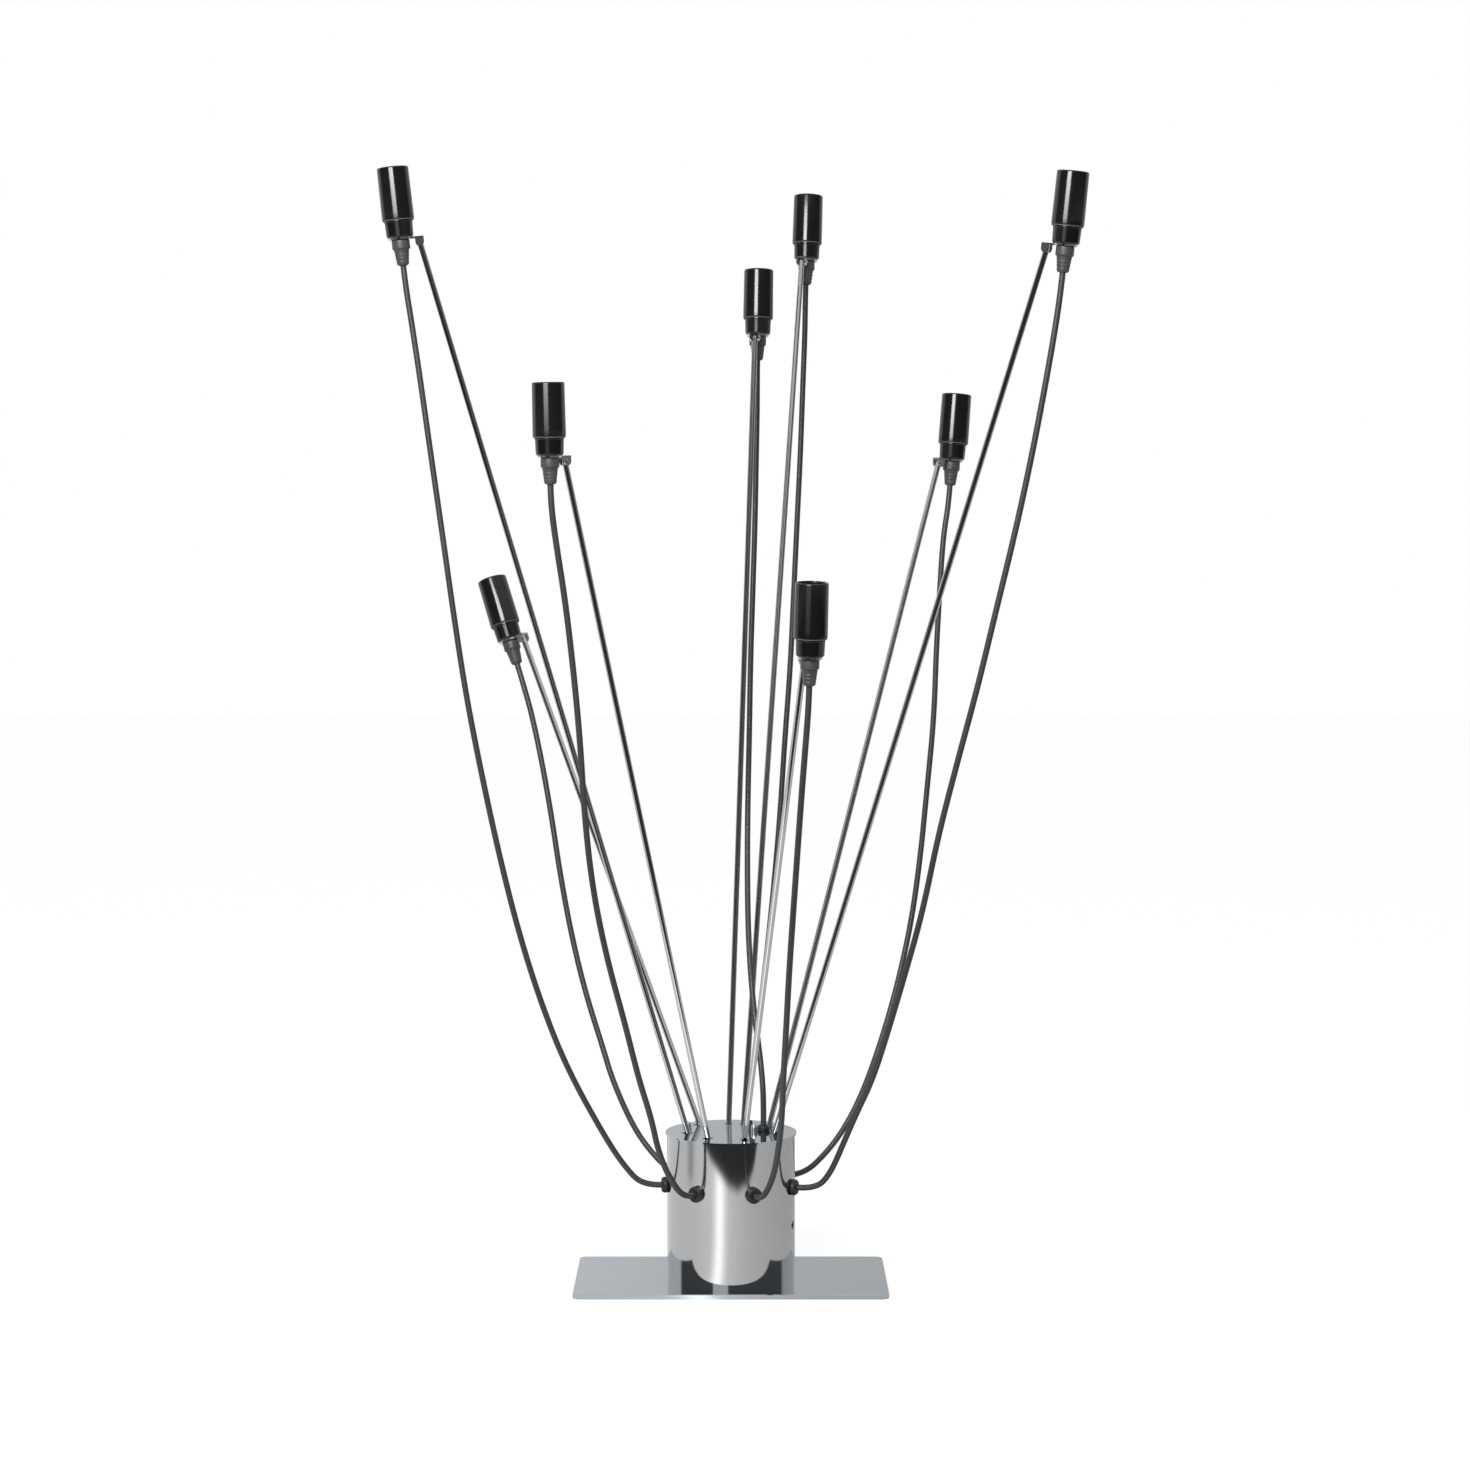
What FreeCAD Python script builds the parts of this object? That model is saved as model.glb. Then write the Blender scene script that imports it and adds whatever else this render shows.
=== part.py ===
import FreeCAD, Part
import math
import os
import Sketcher
from FreeCAD import Vector

# An electric candelabra: eight rods fan out of a drum on a flat plate, each with a lampholder
# Origin: centre of the plate's underside, on the drum's axis. Z is up and the front is -Y
# Azimuths are in degrees from the front (-Y) towards the right (+X)

# Driving sizes, in millimetres and degrees
SIZES = {
    # Base plate
    "plateLength": 262,
    "plateDepth": 142,
    "plateThickness": 4,
    "plateCorner": 6.5,
    "plateEdge": 0.5,
    # Upright tabs on the plate, which take the drum's side screws
    "tabWidth": 16,
    "tabThickness": 3,
    "tabHeight": 56,
    "tabGap": 0.2,
    "screwAzimuth": 74,
    "screwBelowTop": 10,
    "screwDiameter": 6.8,
    "screwFit": 0.1,
    "screwSocket": 3.2,
    "screwSocketDepth": 3,
    "screwTip": 1,
    # Drum and the thin disc that closes it
    "drumDiameter": 108,
    "drumWall": 1.5,
    "drumHeight": 121.5,
    "discDiameter": 110.6,
    "discThickness": 1.3,
    # Cap nuts that hold the disc down on the carrier
    "nutLeftAcross": -36,
    "nutLeftBack": 11,
    "nutRightAcross": 19.5,
    "nutRightBack": 0,
    "nutDiameter": 5.2,
    "nutHeight": 6.4,
    "studDiameter": 3,
    "studFit": 0.1,
    # Carrier plate inside the drum, and the forks and pins of the arms
    "carrierThickness": 5,
    "carrierFit": 0.1,
    "footRing": 33.5,
    "pivotDepth": 12,
    "forkDepth": 9,
    "forkCheek": 2.2,
    "forkBase": 2.5,
    "forkBelow": 7.8,
    "forkAbove": 3.5,
    "pinDiameter": 2,
    "pinSeat": 0.02,
    "pinRunning": 0.05,
    "pinHead": 0.6,
    # Rods
    "rodDiameter": 5,
    "rodSideGap": 0.1,
    "armSwing": 8,
    "slotGap": 0.4,
    # Bracket at a rod's tip: a washer with a tongue and two ears
    "holderReach": 15.5,
    "holderDrop": 4.5,
    "washerDiameter": 19,
    "washerThickness": 1.5,
    "earThickness": 1.3,
    "earLength": 7,
    "rivetHead": 3.6,
    "rivetHeadHeight": 0.8,
    # Lampholder for a small screw lamp
    "capHeight": 14.7,
    "capTopDiameter": 23.2,
    "capBottomDiameter": 22.1,
    "capWall": 2.4,
    "capFloor": 2.6,
    "capEdge": 1.2,
    "nippleDiameter": 9.8,
    "nippleFit": 0.1,
    "nippleLength": 6.5,
    "shellHeight": 42.8,
    "shellTopDiameter": 25.8,
    "shellBottomDiameter": 26.4,
    "shellBore": 21.8,
    "shellEdge": 1,
    "insulatorGap": 0.3,
    "insulatorThickness": 4,
    "blockDiameter": 12.6,
    "blockHeight": 5,
    "blockFit": 0.1,
    "sleeveBore": 14.2,
    "sleeveWall": 0.6,
    "sleeveHeight": 24,
    "contactDiameter": 5,
    "contactHeight": 3,
    # Strain relief under the lampholder
    "collarDiameter": 14.8,
    "collarHeight": 8,
    "collarEdge": 0.8,
    "glandTopDiameter": 12.6,
    "glandBottomDiameter": 9.4,
    "glandLength": 13,
    "glandEdge": 1.2,
    "glandGroove": 0.7,
    "grooveWidth": 1.1,
    # Cords and the rubber bushings where they enter the drum
    "cordDiameter": 5,
    "cordExitRun": 16,
    "cordEntryRun": 16,
    "wireBore": 3,
    "bushingDrop": 44,
    "bushingDiameter": 13.5,
    "bushingLip": 5,
    "bushingEdge": 1.5,
    "bushingNeck": 9,
    "bushingFit": 0.05,
    "bushingInside": 12,
    "bushingInsideLip": 1.5,
    "discBushingAcross": 27.5,
    "discBushingBack": 5,
    "discBushingDiameter": 10.6,
    "discBushingLip": 4.6,
    "discBushingEdge": 1.2,
    "discBushingNeck": 7.4,
    "discBushingInside": 9.6,
    # Wiring inside the drum
    "terminalDiameter": 36,
    "terminalHeight": 16,
    "terminalEdge": 1.5,
    "leadDiameter": 3,
    "leadRing": 14,
    "leadHole": 3.4,
    "inletHeight": 12,
    "inletDiameter": 13,
    "inletLip": 2,
    "inletNeck": 10,
    "inletInside": 12,
    "inletInsideLip": 1.5,
}

# Sizes of the eight arms: azimuth of the foot, azimuth and angle of the lean, pin to pin length,
# lean of the lampholder from upright, azimuth of the cord's bushing in the drum
ARM_SIZES = {
    "footAzimuth_1": -78, "leanAzimuth_1": -84, "lean_1": 16.5, "rodLength_1": 787,
    "holderLean_1": 6, "cordAzimuth_1": -83,
    "footAzimuth_2": 163, "leanAzimuth_2": 163, "lean_2": 13.5, "rodLength_2": 778,
    "holderLean_2": 6, "cordAzimuth_2": 174,
    "footAzimuth_3": 184, "leanAzimuth_3": 170, "lean_3": 11, "rodLength_3": 700,
    "holderLean_3": 5,
    "footAzimuth_4": 80, "leanAzimuth_4": 65, "lean_4": 18, "rodLength_4": 781,
    "holderLean_4": 6, "cordAzimuth_4": 71.5,
    "footAzimuth_5": -30, "leanAzimuth_5": -46, "lean_5": 15.5, "rodLength_5": 595,
    "holderLean_5": 1.5, "cordAzimuth_5": -31.5,
    "footAzimuth_6": 120, "leanAzimuth_6": 129, "lean_6": 18.8, "rodLength_6": 609,
    "holderLean_6": 5.5, "cordAzimuth_6": 123,
    "footAzimuth_7": -139, "leanAzimuth_7": -128.5, "lean_7": 26, "rodLength_7": 470,
    "holderLean_7": 22, "cordAzimuth_7": 225.5,
    "footAzimuth_8": 17, "leanAzimuth_8": 15, "lean_8": 23.5, "rodLength_8": 457,
    "holderLean_8": 5.5, "cordAzimuth_8": 20,
}
ARMS = range(1, 9)

# The cord with no azimuth of its own enters through the disc, the other ones through the drum's wall
DISC_CORD = next(number for number in ARMS if f"cordAzimuth_{number}" not in ARM_SIZES)
DRUM_CORDS = [number for number in ARMS if number != DISC_CORD]

# Routes of the cords between their two straight ends, from the lampholder down
CORD_POINTS = {
    1: [(-262, -31, 803), (-255, -31, 755), (-247, -30, 695), (-238, -29, 630), (-229, -29, 563),
        (-219, -28, 495), (-206, -27, 427), (-192, -26, 361), (-176, -25, 296), (-157, -23, 235),
        (-136, -22, 182), (-105, -17, 124), (-89, -13, 99)],
    2: [(66, 216, 807), (64, 213, 757), (62, 210, 700), (59, 204, 640), (56, 198, 577),
        (53, 190, 512), (48, 182, 448), (44, 173, 386), (39, 162, 328), (33, 148, 272),
        (27, 133, 222), (21, 117, 178), (17, 104, 142), (13, 96, 115), (10, 87, 96)],
    3: [(23, 176, 737), (22, 172, 690), (21, 165, 635), (19, 153, 577), (17, 139, 517),
        (16, 122, 457), (14.5, 102, 396), (14, 80, 336), (15, 54, 280), (19, 30, 228),
        (24.5, 15, 190), (27, 8, 165)],
    4: [(258, -111, 790), (250, -108, 742), (240, -104, 687), (228, -99, 629), (214, -94, 569),
        (200, -88, 507), (184, -82, 445), (169, -76, 384), (157, -72, 322), (142, -66, 266),
        (127, -60, 213), (117, -50, 179), (103, -42, 147), (95, -38, 127), (83, -28, 96)],
    5: [(-138, -146, 624), (-131, -140, 577), (-125, -135, 522), (-120, -131, 465),
        (-117, -127, 406), (-111, -122, 347), (-100, -113, 289), (-86, -102, 235),
        (-75, -92, 187), (-65, -83, 153), (-60, -82, 128), (-52, -79, 106)],
    6: [(186, 144, 626), (183, 140, 580), (180, 137, 527), (178, 133, 468), (172, 128, 408),
        (166, 122, 348), (158, 114, 292), (146, 102, 240), (131, 87, 191), (113, 66, 146),
        (96, 56, 116), (80, 49, 97)],
    7: [(-176, 147, 472), (-167, 139, 432), (-158, 130, 384), (-150, 121, 333), (-140, 112, 281),
        (-127, 100, 230), (-111, 86, 183), (-103, 77, 158), (-87, 68, 123), (-73, 62, 102)],
    8: [(58, -216, 470), (55, -210, 430), (52, -201, 384), (49, -191, 336), (46, -180, 288),
        (44, -167, 242), (42, -150, 199), (41, -130, 159), (38, -115, 129), (34, -98, 105)],
}

# Middle of an inner lead, as distances from the drum's axis and heights
LEAD_POINTS = [(31, 76), (21, 60)]
LEAD_STRAIGHT_IN = 8
LEAD_STRAIGHT_DOWN = 20

# Middle of the lead that comes down through the carrier plate
DISC_LEAD_POINTS = [(27.5, 5, 88), (14, 18, 74), (7.3, 11.9, 40)]
DISC_LEAD_END = (7.3, 11.9)

# An arc of a cord takes this share of the shorter run beside it
ARC_SHARE = 0.45

# Corners of a cap nut's dome, as shares of its radius and its height
NUT_DOME = [(1, 0.55), (0.8, 0.85), (0.35, 1)]

# Grooves of a gland, as shares of its length from the lower end
GLAND_GROOVES = (0.3, 0.52, 0.74)

# Middle corner of a shell's rounded rim, as a share of the rounding
RIM_BULGE = 0.3

HEX_SIDES = 6
TOLERANCE = 0.001

doc = FreeCAD.newDocument("candelabra")
sheet = doc.addObject("Spreadsheet::Sheet", "sizes")
nodes = {}


def fill_sheet():
    """Write every driving size into the sheet under its own name."""
    values = {**SIZES, **ARM_SIZES}
    for line, (name, value) in enumerate(values.items(), start=1):
        sheet.set(f"A{line}", name)
        sheet.set(f"B{line}", str(value))
        sheet.setAlias(f"B{line}", name)
    doc.recompute()


def work_out(formula):
    """Number that a formula of sheet values gives."""
    result = sheet.evalExpression(formula)
    return float(getattr(result, "Value", result))


def bind(thing, **formulas):
    """Tie properties of an object to formulas of sheet values."""
    for name, formula in formulas.items():
        thing.setExpression(name, formula)
    return thing


# Formulas that several pieces share
PLATE_TOP = "sizes.plateThickness"
DISC_TOP = "(sizes.plateThickness + sizes.drumHeight + sizes.discThickness)"
PIVOT_HEIGHT = f"({DISC_TOP} - sizes.pivotDepth)"
DRUM_RADIUS = "(sizes.drumDiameter / 2)"
DRUM_BORE = "(sizes.drumDiameter / 2 - sizes.drumWall)"
ROD_RADIUS = "(sizes.rodDiameter / 2)"
FORK_SLOT = "(sizes.rodDiameter + 2 * sizes.rodSideGap)"
FORK_WIDTH = f"({FORK_SLOT} + 2 * sizes.forkCheek)"
EAR_WIDTH = f"({FORK_SLOT} + 2 * sizes.earThickness)"
CARRIER_TOP = f"({PIVOT_HEIGHT} - sizes.forkBelow)"
BUSHING_HEIGHT = f"({DISC_TOP} - sizes.bushingDrop)"
RELIEF_END = "(sizes.washerThickness + sizes.collarHeight + sizes.glandLength)"
TAB_FACE = f"sqrt(({DRUM_BORE} - sizes.tabGap)^2 - (sizes.tabWidth / 2)^2)"


def moved(across, back, up, axis="0; 0; 1", angle="0"):
    """Formula of a placement: a shift, then a turn about an axis."""
    return f"placement(vector({across}; {back}; {up}); rotation(vector({axis}); {angle}))"


def on_ring(azimuth, radius, height):
    """Placement formula on a ring round the drum's axis, with X pointing outwards."""
    return moved(f"{radius} * sin({azimuth})", f"-{radius} * cos({azimuth})", height,
                 "0; 0; 1", f"{azimuth} - 90")


def foot_frame(number):
    """Placement formula of an arm's fork: X in the direction of the lean, Y along the pin."""
    azimuth = f"sizes.footAzimuth_{number}"
    return moved(f"sizes.footRing * sin({azimuth})", f"-sizes.footRing * cos({azimuth})",
                 PIVOT_HEIGHT, "0; 0; 1", f"sizes.leanAzimuth_{number} - 90")


def arm_frame(number):
    """Placement formula of a rod: origin on its lower pin, Z up the rod."""
    return foot_frame(number) + " * " + moved("0", "0", "0", "0; 1; 0", f"sizes.lean_{number}")


def holder_frame(number):
    """Placement formula of a lampholder: origin in its cap's underside, Z up its axis."""
    tilt = f"sizes.holderLean_{number} - sizes.lean_{number}"
    at_pin = moved("0", "0", f"sizes.rodLength_{number}", "0; 1; 0", tilt)
    return arm_frame(number) + f" * {at_pin} * " + moved("sizes.holderReach", "0", "sizes.holderDrop")


def lip_depth(radius):
    """Formula of the depth below the drum's outside where a flat round lip clears its inner curve."""
    return f"({DRUM_RADIUS} - sqrt({DRUM_BORE}^2 - ({radius})^2) + sizes.bushingFit)"


def cylinder(name, radius, height, place=None):
    """Cylinder whose radius and height follow formulas."""
    piece = doc.addObject("Part::Cylinder", name)
    bind(piece, Radius=radius, Height=height)
    if place:
        bind(piece, Placement=place)
    return piece


def box(name, length, width, height, place):
    """Box whose sides follow formulas."""
    piece = doc.addObject("Part::Box", name)
    return bind(piece, Length=length, Width=width, Height=height, Placement=place)


def fuse(name, pieces):
    """Solid made of several touching solids."""
    piece = doc.addObject("Part::MultiFuse", name)
    piece.Shapes = pieces
    return piece


def cut(name, base, tools):
    """Solid with one or more solids taken out of it."""
    piece = doc.addObject("Part::Cut", name)
    piece.Base = base
    piece.Tool = tools[0] if len(tools) == 1 else fuse(name + "Tools", tools)
    return piece


def group(name, pieces, place=None):
    """Separate solids kept together, moved as one."""
    piece = doc.addObject("Part::Compound", name)
    piece.Links = pieces
    if place:
        bind(piece, Placement=place)
    return piece


def node(name, piece):
    """Name a finished sub-part."""
    piece.Label = name
    nodes[name] = piece


def origin_plane(body, role):
    """One of a body's own origin planes."""
    for feature in body.Origin.OriginFeatures:
        if feature.Role == role:
            return feature
    raise ValueError(role)


def polygon_sketch(body, name, role, corners):
    """Closed outline whose corners are pairs of formulas, on a plane of the body."""
    sketch = body.newObject("Sketcher::SketchObject", name)
    sketch.AttachmentSupport = [(origin_plane(body, role), "")]
    sketch.MapMode = "FlatFace"
    spots = [Vector(work_out(across), work_out(up), 0) for across, up in corners]
    count = len(spots)
    for index in range(count):
        sketch.addGeometry(Part.LineSegment(spots[index], spots[(index + 1) % count]))
    for index in range(count):
        following = (index + 1) % count
        sketch.addConstraint(Sketcher.Constraint("Coincident", index, 2, following, 1))
    for index, (across, up) in enumerate(corners):
        for kind, axis, formula, value in (
            ("DistanceX", -2, across, spots[index].x),
            ("DistanceY", -1, up, spots[index].y),
        ):
            if formula == "0":
                sketch.addConstraint(Sketcher.Constraint("PointOnObject", index, 1, axis))
                continue
            place = sketch.addConstraint(Sketcher.Constraint(kind, -1, 1, index, 1, value))
            sketch.setExpression(f"Constraints[{place}]", formula)
    return sketch


def turned(name, corners):
    """Body turned about its Z axis from corners given as radius and height formulas."""
    body = doc.addObject("PartDesign::Body", name)
    sketch = polygon_sketch(body, name + "Profile", "XZ_Plane", corners)
    feature = body.newObject("PartDesign::Revolution", name + "Turn")
    feature.Profile = sketch
    feature.ReferenceAxis = (sketch, ["V_Axis"])
    feature.Angle = 360
    body.Tip = feature
    return body


def edges_where(feature, test):
    """Names of the edges of a feature that pass a test."""
    edges = enumerate(feature.Shape.Edges, start=1)
    return [f"Edge{index}" for index, edge in edges if test(edge)]


def build_base_plate():
    """Flat plate with two upright tabs that carry the drum's side screws."""
    body = doc.addObject("PartDesign::Body", "plateBody")
    half_length = "sizes.plateLength / 2"
    half_depth = "sizes.plateDepth / 2"
    corners = [(f"-{half_length}", f"-{half_depth}"), (half_length, f"-{half_depth}"),
               (half_length, half_depth), (f"-{half_length}", half_depth)]
    sketch = polygon_sketch(body, "plateOutline", "XY_Plane", corners)
    pad = body.newObject("PartDesign::Pad", "platePad")
    pad.Profile = sketch
    bind(pad, Length="sizes.plateThickness")
    doc.recompute()
    upright = edges_where(pad, lambda edge: edge.BoundBox.ZLength > TOLERANCE)
    rounded = body.newObject("PartDesign::Fillet", "plateCorners")
    rounded.Base = (pad, upright)
    bind(rounded, Radius="sizes.plateCorner")
    doc.recompute()
    top = work_out(PLATE_TOP)
    rim = edges_where(rounded, lambda edge: edge.BoundBox.ZMin > top - TOLERANCE)
    eased = body.newObject("PartDesign::Chamfer", "plateEdge")
    eased.Base = (rounded, rim)
    bind(eased, Size="sizes.plateEdge")
    body.Tip = eased
    pieces = [body]
    holes = []
    inner = f"{TAB_FACE} - sizes.tabThickness"
    for side, turn in (("Right", "0"), ("Left", "180")):
        azimuth = f"(sizes.screwAzimuth + {turn})"
        spot = on_ring(azimuth, "0", PLATE_TOP) + " * " + moved(inner, "-sizes.tabWidth / 2", "0")
        pieces.append(box("tab" + side, "sizes.tabThickness", "sizes.tabWidth",
                          "sizes.tabHeight", spot))
        hole = screw_axis(azimuth) + " * " + moved("0", "0", "-sizes.drumWall - 2 * sizes.tabThickness")
        holes.append(cylinder("tabHole" + side, "sizes.screwDiameter / 2",
                              "3 * sizes.tabThickness", hole))
    plate = fuse("plateWithTabs", pieces)
    node("base_plate", cut("plateDrilled", plate, holes))


def screw_axis(azimuth):
    """Placement formula on the drum's outside at screw height, with Z pointing outwards."""
    height = f"{PLATE_TOP} + sizes.tabHeight - sizes.screwBelowTop"
    return on_ring(azimuth, DRUM_RADIUS, height) + " * " + moved("0", "0", "0", "0; 1; 0", "90")


def bushing_axis(number):
    """Placement formula of a cord bushing: origin on the drum's or the disc's face, Z outwards."""
    if number == DISC_CORD:
        return moved("sizes.discBushingAcross", "sizes.discBushingBack", DISC_TOP)
    spot = on_ring(f"sizes.cordAzimuth_{number}", DRUM_RADIUS, BUSHING_HEIGHT)
    return spot + " * " + moved("0", "0", "0", "0; 1; 0", "90")


def inlet_axis():
    """Placement formula of the mains inlet at the back: origin on the drum's outside, Z outwards."""
    height = f"{PLATE_TOP} + sizes.inletHeight"
    return on_ring("180", DRUM_RADIUS, height) + " * " + moved("0", "0", "0", "0; 1; 0", "90")


def build_drum():
    """Tube that stands on the plate, with holes for bushings, side screws and the mains inlet."""
    outside = cylinder("drumOutside", DRUM_RADIUS, "sizes.drumHeight", moved("0", "0", PLATE_TOP))
    inside = cylinder("drumInside", DRUM_BORE, "sizes.drumHeight", moved("0", "0", PLATE_TOP))
    through = " * " + moved("0", "0", "-2 * sizes.drumWall")
    depth = "3 * sizes.drumWall"
    tools = [inside]
    for number in DRUM_CORDS:
        radius = "sizes.bushingNeck / 2 + sizes.bushingFit"
        tools.append(cylinder(f"bushingHole{number}", radius, depth, bushing_axis(number) + through))
    for side, turn in (("Right", "0"), ("Left", "180")):
        place = screw_axis(f"(sizes.screwAzimuth + {turn})") + through
        radius = "sizes.screwDiameter / 2 + sizes.screwFit"
        tools.append(cylinder("screwHole" + side, radius, depth, place))
    radius = "sizes.inletNeck / 2 + sizes.bushingFit"
    tools.append(cylinder("inletHole", radius, depth, inlet_axis() + through))
    node("drum", cut("drumShape", outside, tools))


def build_drum_screws():
    """Two socket screws flush with the drum, threaded into the plate's tabs."""
    length = f"({DRUM_RADIUS} - {TAB_FACE} + sizes.tabThickness + sizes.screwTip)"
    shank = cylinder("screwShank", "sizes.screwDiameter / 2", length, moved("0", "0", f"-{length}"))
    socket = doc.addObject("Part::Prism", "screwSocket")
    socket.Polygon = HEX_SIDES
    bind(socket, Circumradius="sizes.screwSocket / 2", Height="sizes.screwSocketDepth",
         Placement=moved("0", "0", "-sizes.screwSocketDepth"))
    screw = cut("screwShape", shank, [socket])
    placed = []
    for side, turn in (("Right", "0"), ("Left", "180")):
        place = screw_axis(f"(sizes.screwAzimuth + {turn})")
        placed.append(group("screwPlaced" + side, [screw], place))
    node("drum_screws", group("drumScrews", placed))


def nut_places():
    """Placement formulas of the cap nuts on the disc."""
    return {
        "Left": moved("sizes.nutLeftAcross", "sizes.nutLeftBack", DISC_TOP),
        "Right": moved("sizes.nutRightAcross", "sizes.nutRightBack", DISC_TOP),
    }


def build_top_disc():
    """Thin disc on the drum, with a slot for each rod along its swing."""
    base = cylinder("discBlank", "sizes.discDiameter / 2", "sizes.discThickness",
                    moved("0", "0", f"{DISC_TOP} - sizes.discThickness"))
    width = "(sizes.rodDiameter + 2 * sizes.slotGap)"
    under = "(sizes.pivotDepth - sizes.discThickness)"
    deep = "2 * sizes.discThickness"
    tools = []
    for number in ARMS:
        inward = f"(sizes.lean_{number} - sizes.armSwing)"
        outward = f"(sizes.lean_{number} + sizes.armSwing)"
        near = f"({under} * tan({inward}) - {ROD_RADIUS} / cos({inward}) - sizes.slotGap)"
        far = f"(sizes.pivotDepth * tan({outward}) + {ROD_RADIUS} / cos({outward}) + sizes.slotGap)"
        level = f"({under} - sizes.discThickness / 2)"
        first = f"({near} + {width} / 2)"
        last = f"({far} - {width} / 2)"
        frame = foot_frame(number) + " * "
        tools.append(box(f"slotMiddle{number}", f"{last} - {first}", width, deep,
                         frame + moved(first, f"-{width} / 2", level)))
        for end, where in (("In", first), ("Out", last)):
            tools.append(cylinder(f"slot{end}{number}", f"{width} / 2", deep,
                                  frame + moved(where, "0", level)))
    for side, place in nut_places().items():
        lowered = place + " * " + moved("0", "0", "-1.5 * sizes.discThickness")
        tools.append(cylinder("studHole" + side, "sizes.studDiameter / 2 + sizes.studFit", deep, lowered))
    lowered = bushing_axis(DISC_CORD) + " * " + moved("0", "0", "-1.5 * sizes.discThickness")
    radius = "sizes.discBushingNeck / 2 + sizes.bushingFit"
    tools.append(cylinder("discBushingHole", radius, deep, lowered))
    node("top_disc", cut("discShape", base, tools))


def build_disc_nuts():
    """Domed cap nuts with their studs, which pull the disc down on the carrier."""
    lower = f"-({DISC_TOP} - {CARRIER_TOP} + sizes.carrierThickness)"
    stud = "sizes.studDiameter / 2"
    rim = "sizes.nutDiameter / 2"
    corners = [("0", lower), (stud, lower), (stud, "0"), (rim, "0")]
    corners += [(f"{rim} * {wide}", f"sizes.nutHeight * {high}") for wide, high in NUT_DOME]
    corners.append(("0", "sizes.nutHeight"))
    nut = turned("capNut", corners)
    placed = []
    for side, place in nut_places().items():
        placed.append(group("nutPlaced" + side, [nut], place))
    node("disc_nuts", group("discNuts", placed))


def build_carrier_plate():
    """Flat plate under the forks, tapped for the studs, with a hole for one cord's lead."""
    plate = cylinder("carrierBlank", f"{DRUM_BORE} - sizes.carrierFit", "sizes.carrierThickness",
                     moved("0", "0", f"{CARRIER_TOP} - sizes.carrierThickness"))
    depth = f"({DISC_TOP} - {CARRIER_TOP} + 2 * sizes.carrierThickness)"
    lowered = " * " + moved("0", "0", f"-{depth}")
    holes = [cylinder("leadHole", "sizes.leadHole / 2", "3 * sizes.carrierThickness",
                      bushing_axis(DISC_CORD) + lowered)]
    for side, place in nut_places().items():
        holes.append(cylinder("threadHole" + side, "sizes.studDiameter / 2",
                              "3 * sizes.carrierThickness", place + lowered))
    node("carrier_plate", cut("carrierShape", plate, holes))


def build_pivot_forks():
    """One fork under each slot of the disc, with a cross pin through it."""
    corner = moved("-sizes.forkDepth / 2", f"-{FORK_WIDTH} / 2", "-sizes.forkBelow")
    block = box("forkBlock", "sizes.forkDepth", FORK_WIDTH, "sizes.forkBelow + sizes.forkAbove", corner)
    slot_place = moved("-sizes.forkDepth", f"-{FORK_SLOT} / 2", "sizes.forkBase - sizes.forkBelow")
    slot = box("forkSlot", "2 * sizes.forkDepth", FORK_SLOT,
               "2 * sizes.forkBelow + sizes.forkAbove", slot_place)
    side = moved("0", f"{FORK_WIDTH}", "0", "1; 0; 0", "90")
    hole = cylinder("forkHole", "sizes.pinDiameter / 2 + sizes.pinSeat", f"2 * {FORK_WIDTH}", side)
    fork = cut("forkShape", block, [slot, hole])
    reach = f"({FORK_WIDTH} / 2 + sizes.pinHead)"
    pin = cylinder("pinShape", "sizes.pinDiameter / 2", f"2 * {reach}",
                   moved("0", reach, "0", "1; 0; 0", "90"))
    forks = [group(f"fork{number}", [fork], foot_frame(number)) for number in ARMS]
    pins = [group(f"pin{number}", [pin], foot_frame(number)) for number in ARMS]
    node("pivot_forks", group("pivotForks", forks))
    node("pivot_pins", group("pivotPins", pins))


def bushing_body(name, kind, front):
    """Rubber bushing with an outer lip, a neck and an inner lip that starts at a depth."""
    bore = "sizes.wireBore / 2"
    lip = f"sizes.{kind}Diameter / 2"
    edge = f"sizes.{kind}Edge"
    neck = f"sizes.{kind}Neck / 2"
    inside = f"sizes.{kind}Inside / 2"
    back = f"{front} - sizes.bushingInsideLip"
    corners = [(bore, back), (inside, back), (inside, front), (neck, front),
               (neck, "0"), (lip, "0"), (lip, f"sizes.{kind}Lip - {edge}"),
               (f"{lip} - {edge}", f"sizes.{kind}Lip"), (bore, f"sizes.{kind}Lip")]
    return turned(name, corners)


def build_cord_bushings():
    """Rubber bushings for the cords, seven in the drum's wall and one in the disc."""
    wall_front = "-" + lip_depth("sizes.bushingInside / 2")
    disc_front = "-(sizes.discThickness + sizes.bushingFit)"
    wall_bushing = bushing_body("bushingBody", "bushing", wall_front)
    disc_bushing = bushing_body("discBushingBody", "discBushing", disc_front)
    placed = [group(f"bushing{number}", [wall_bushing], bushing_axis(number))
              for number in DRUM_CORDS]
    placed.append(group("discBushing", [disc_bushing], bushing_axis(DISC_CORD)))
    node("cord_bushings", group("cordBushings", placed))


def build_inlet_grommet():
    """Closed membrane grommet low at the back, where a mains cord is led in."""
    lip = "sizes.inletDiameter / 2"
    neck = "sizes.inletNeck / 2"
    inside = "sizes.inletInside / 2"
    front = "-" + lip_depth(inside)
    back = f"{front} - sizes.inletInsideLip"
    corners = [("0", back), (inside, back), (inside, front), (neck, front), (neck, "0"), (lip, "0"),
               (f"{lip} - sizes.inletLip / 2", "sizes.inletLip"), ("0", "sizes.inletLip")]
    node("inlet_grommet", group("inletPlaced", [turned("inletBody", corners)], inlet_axis()))


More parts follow.
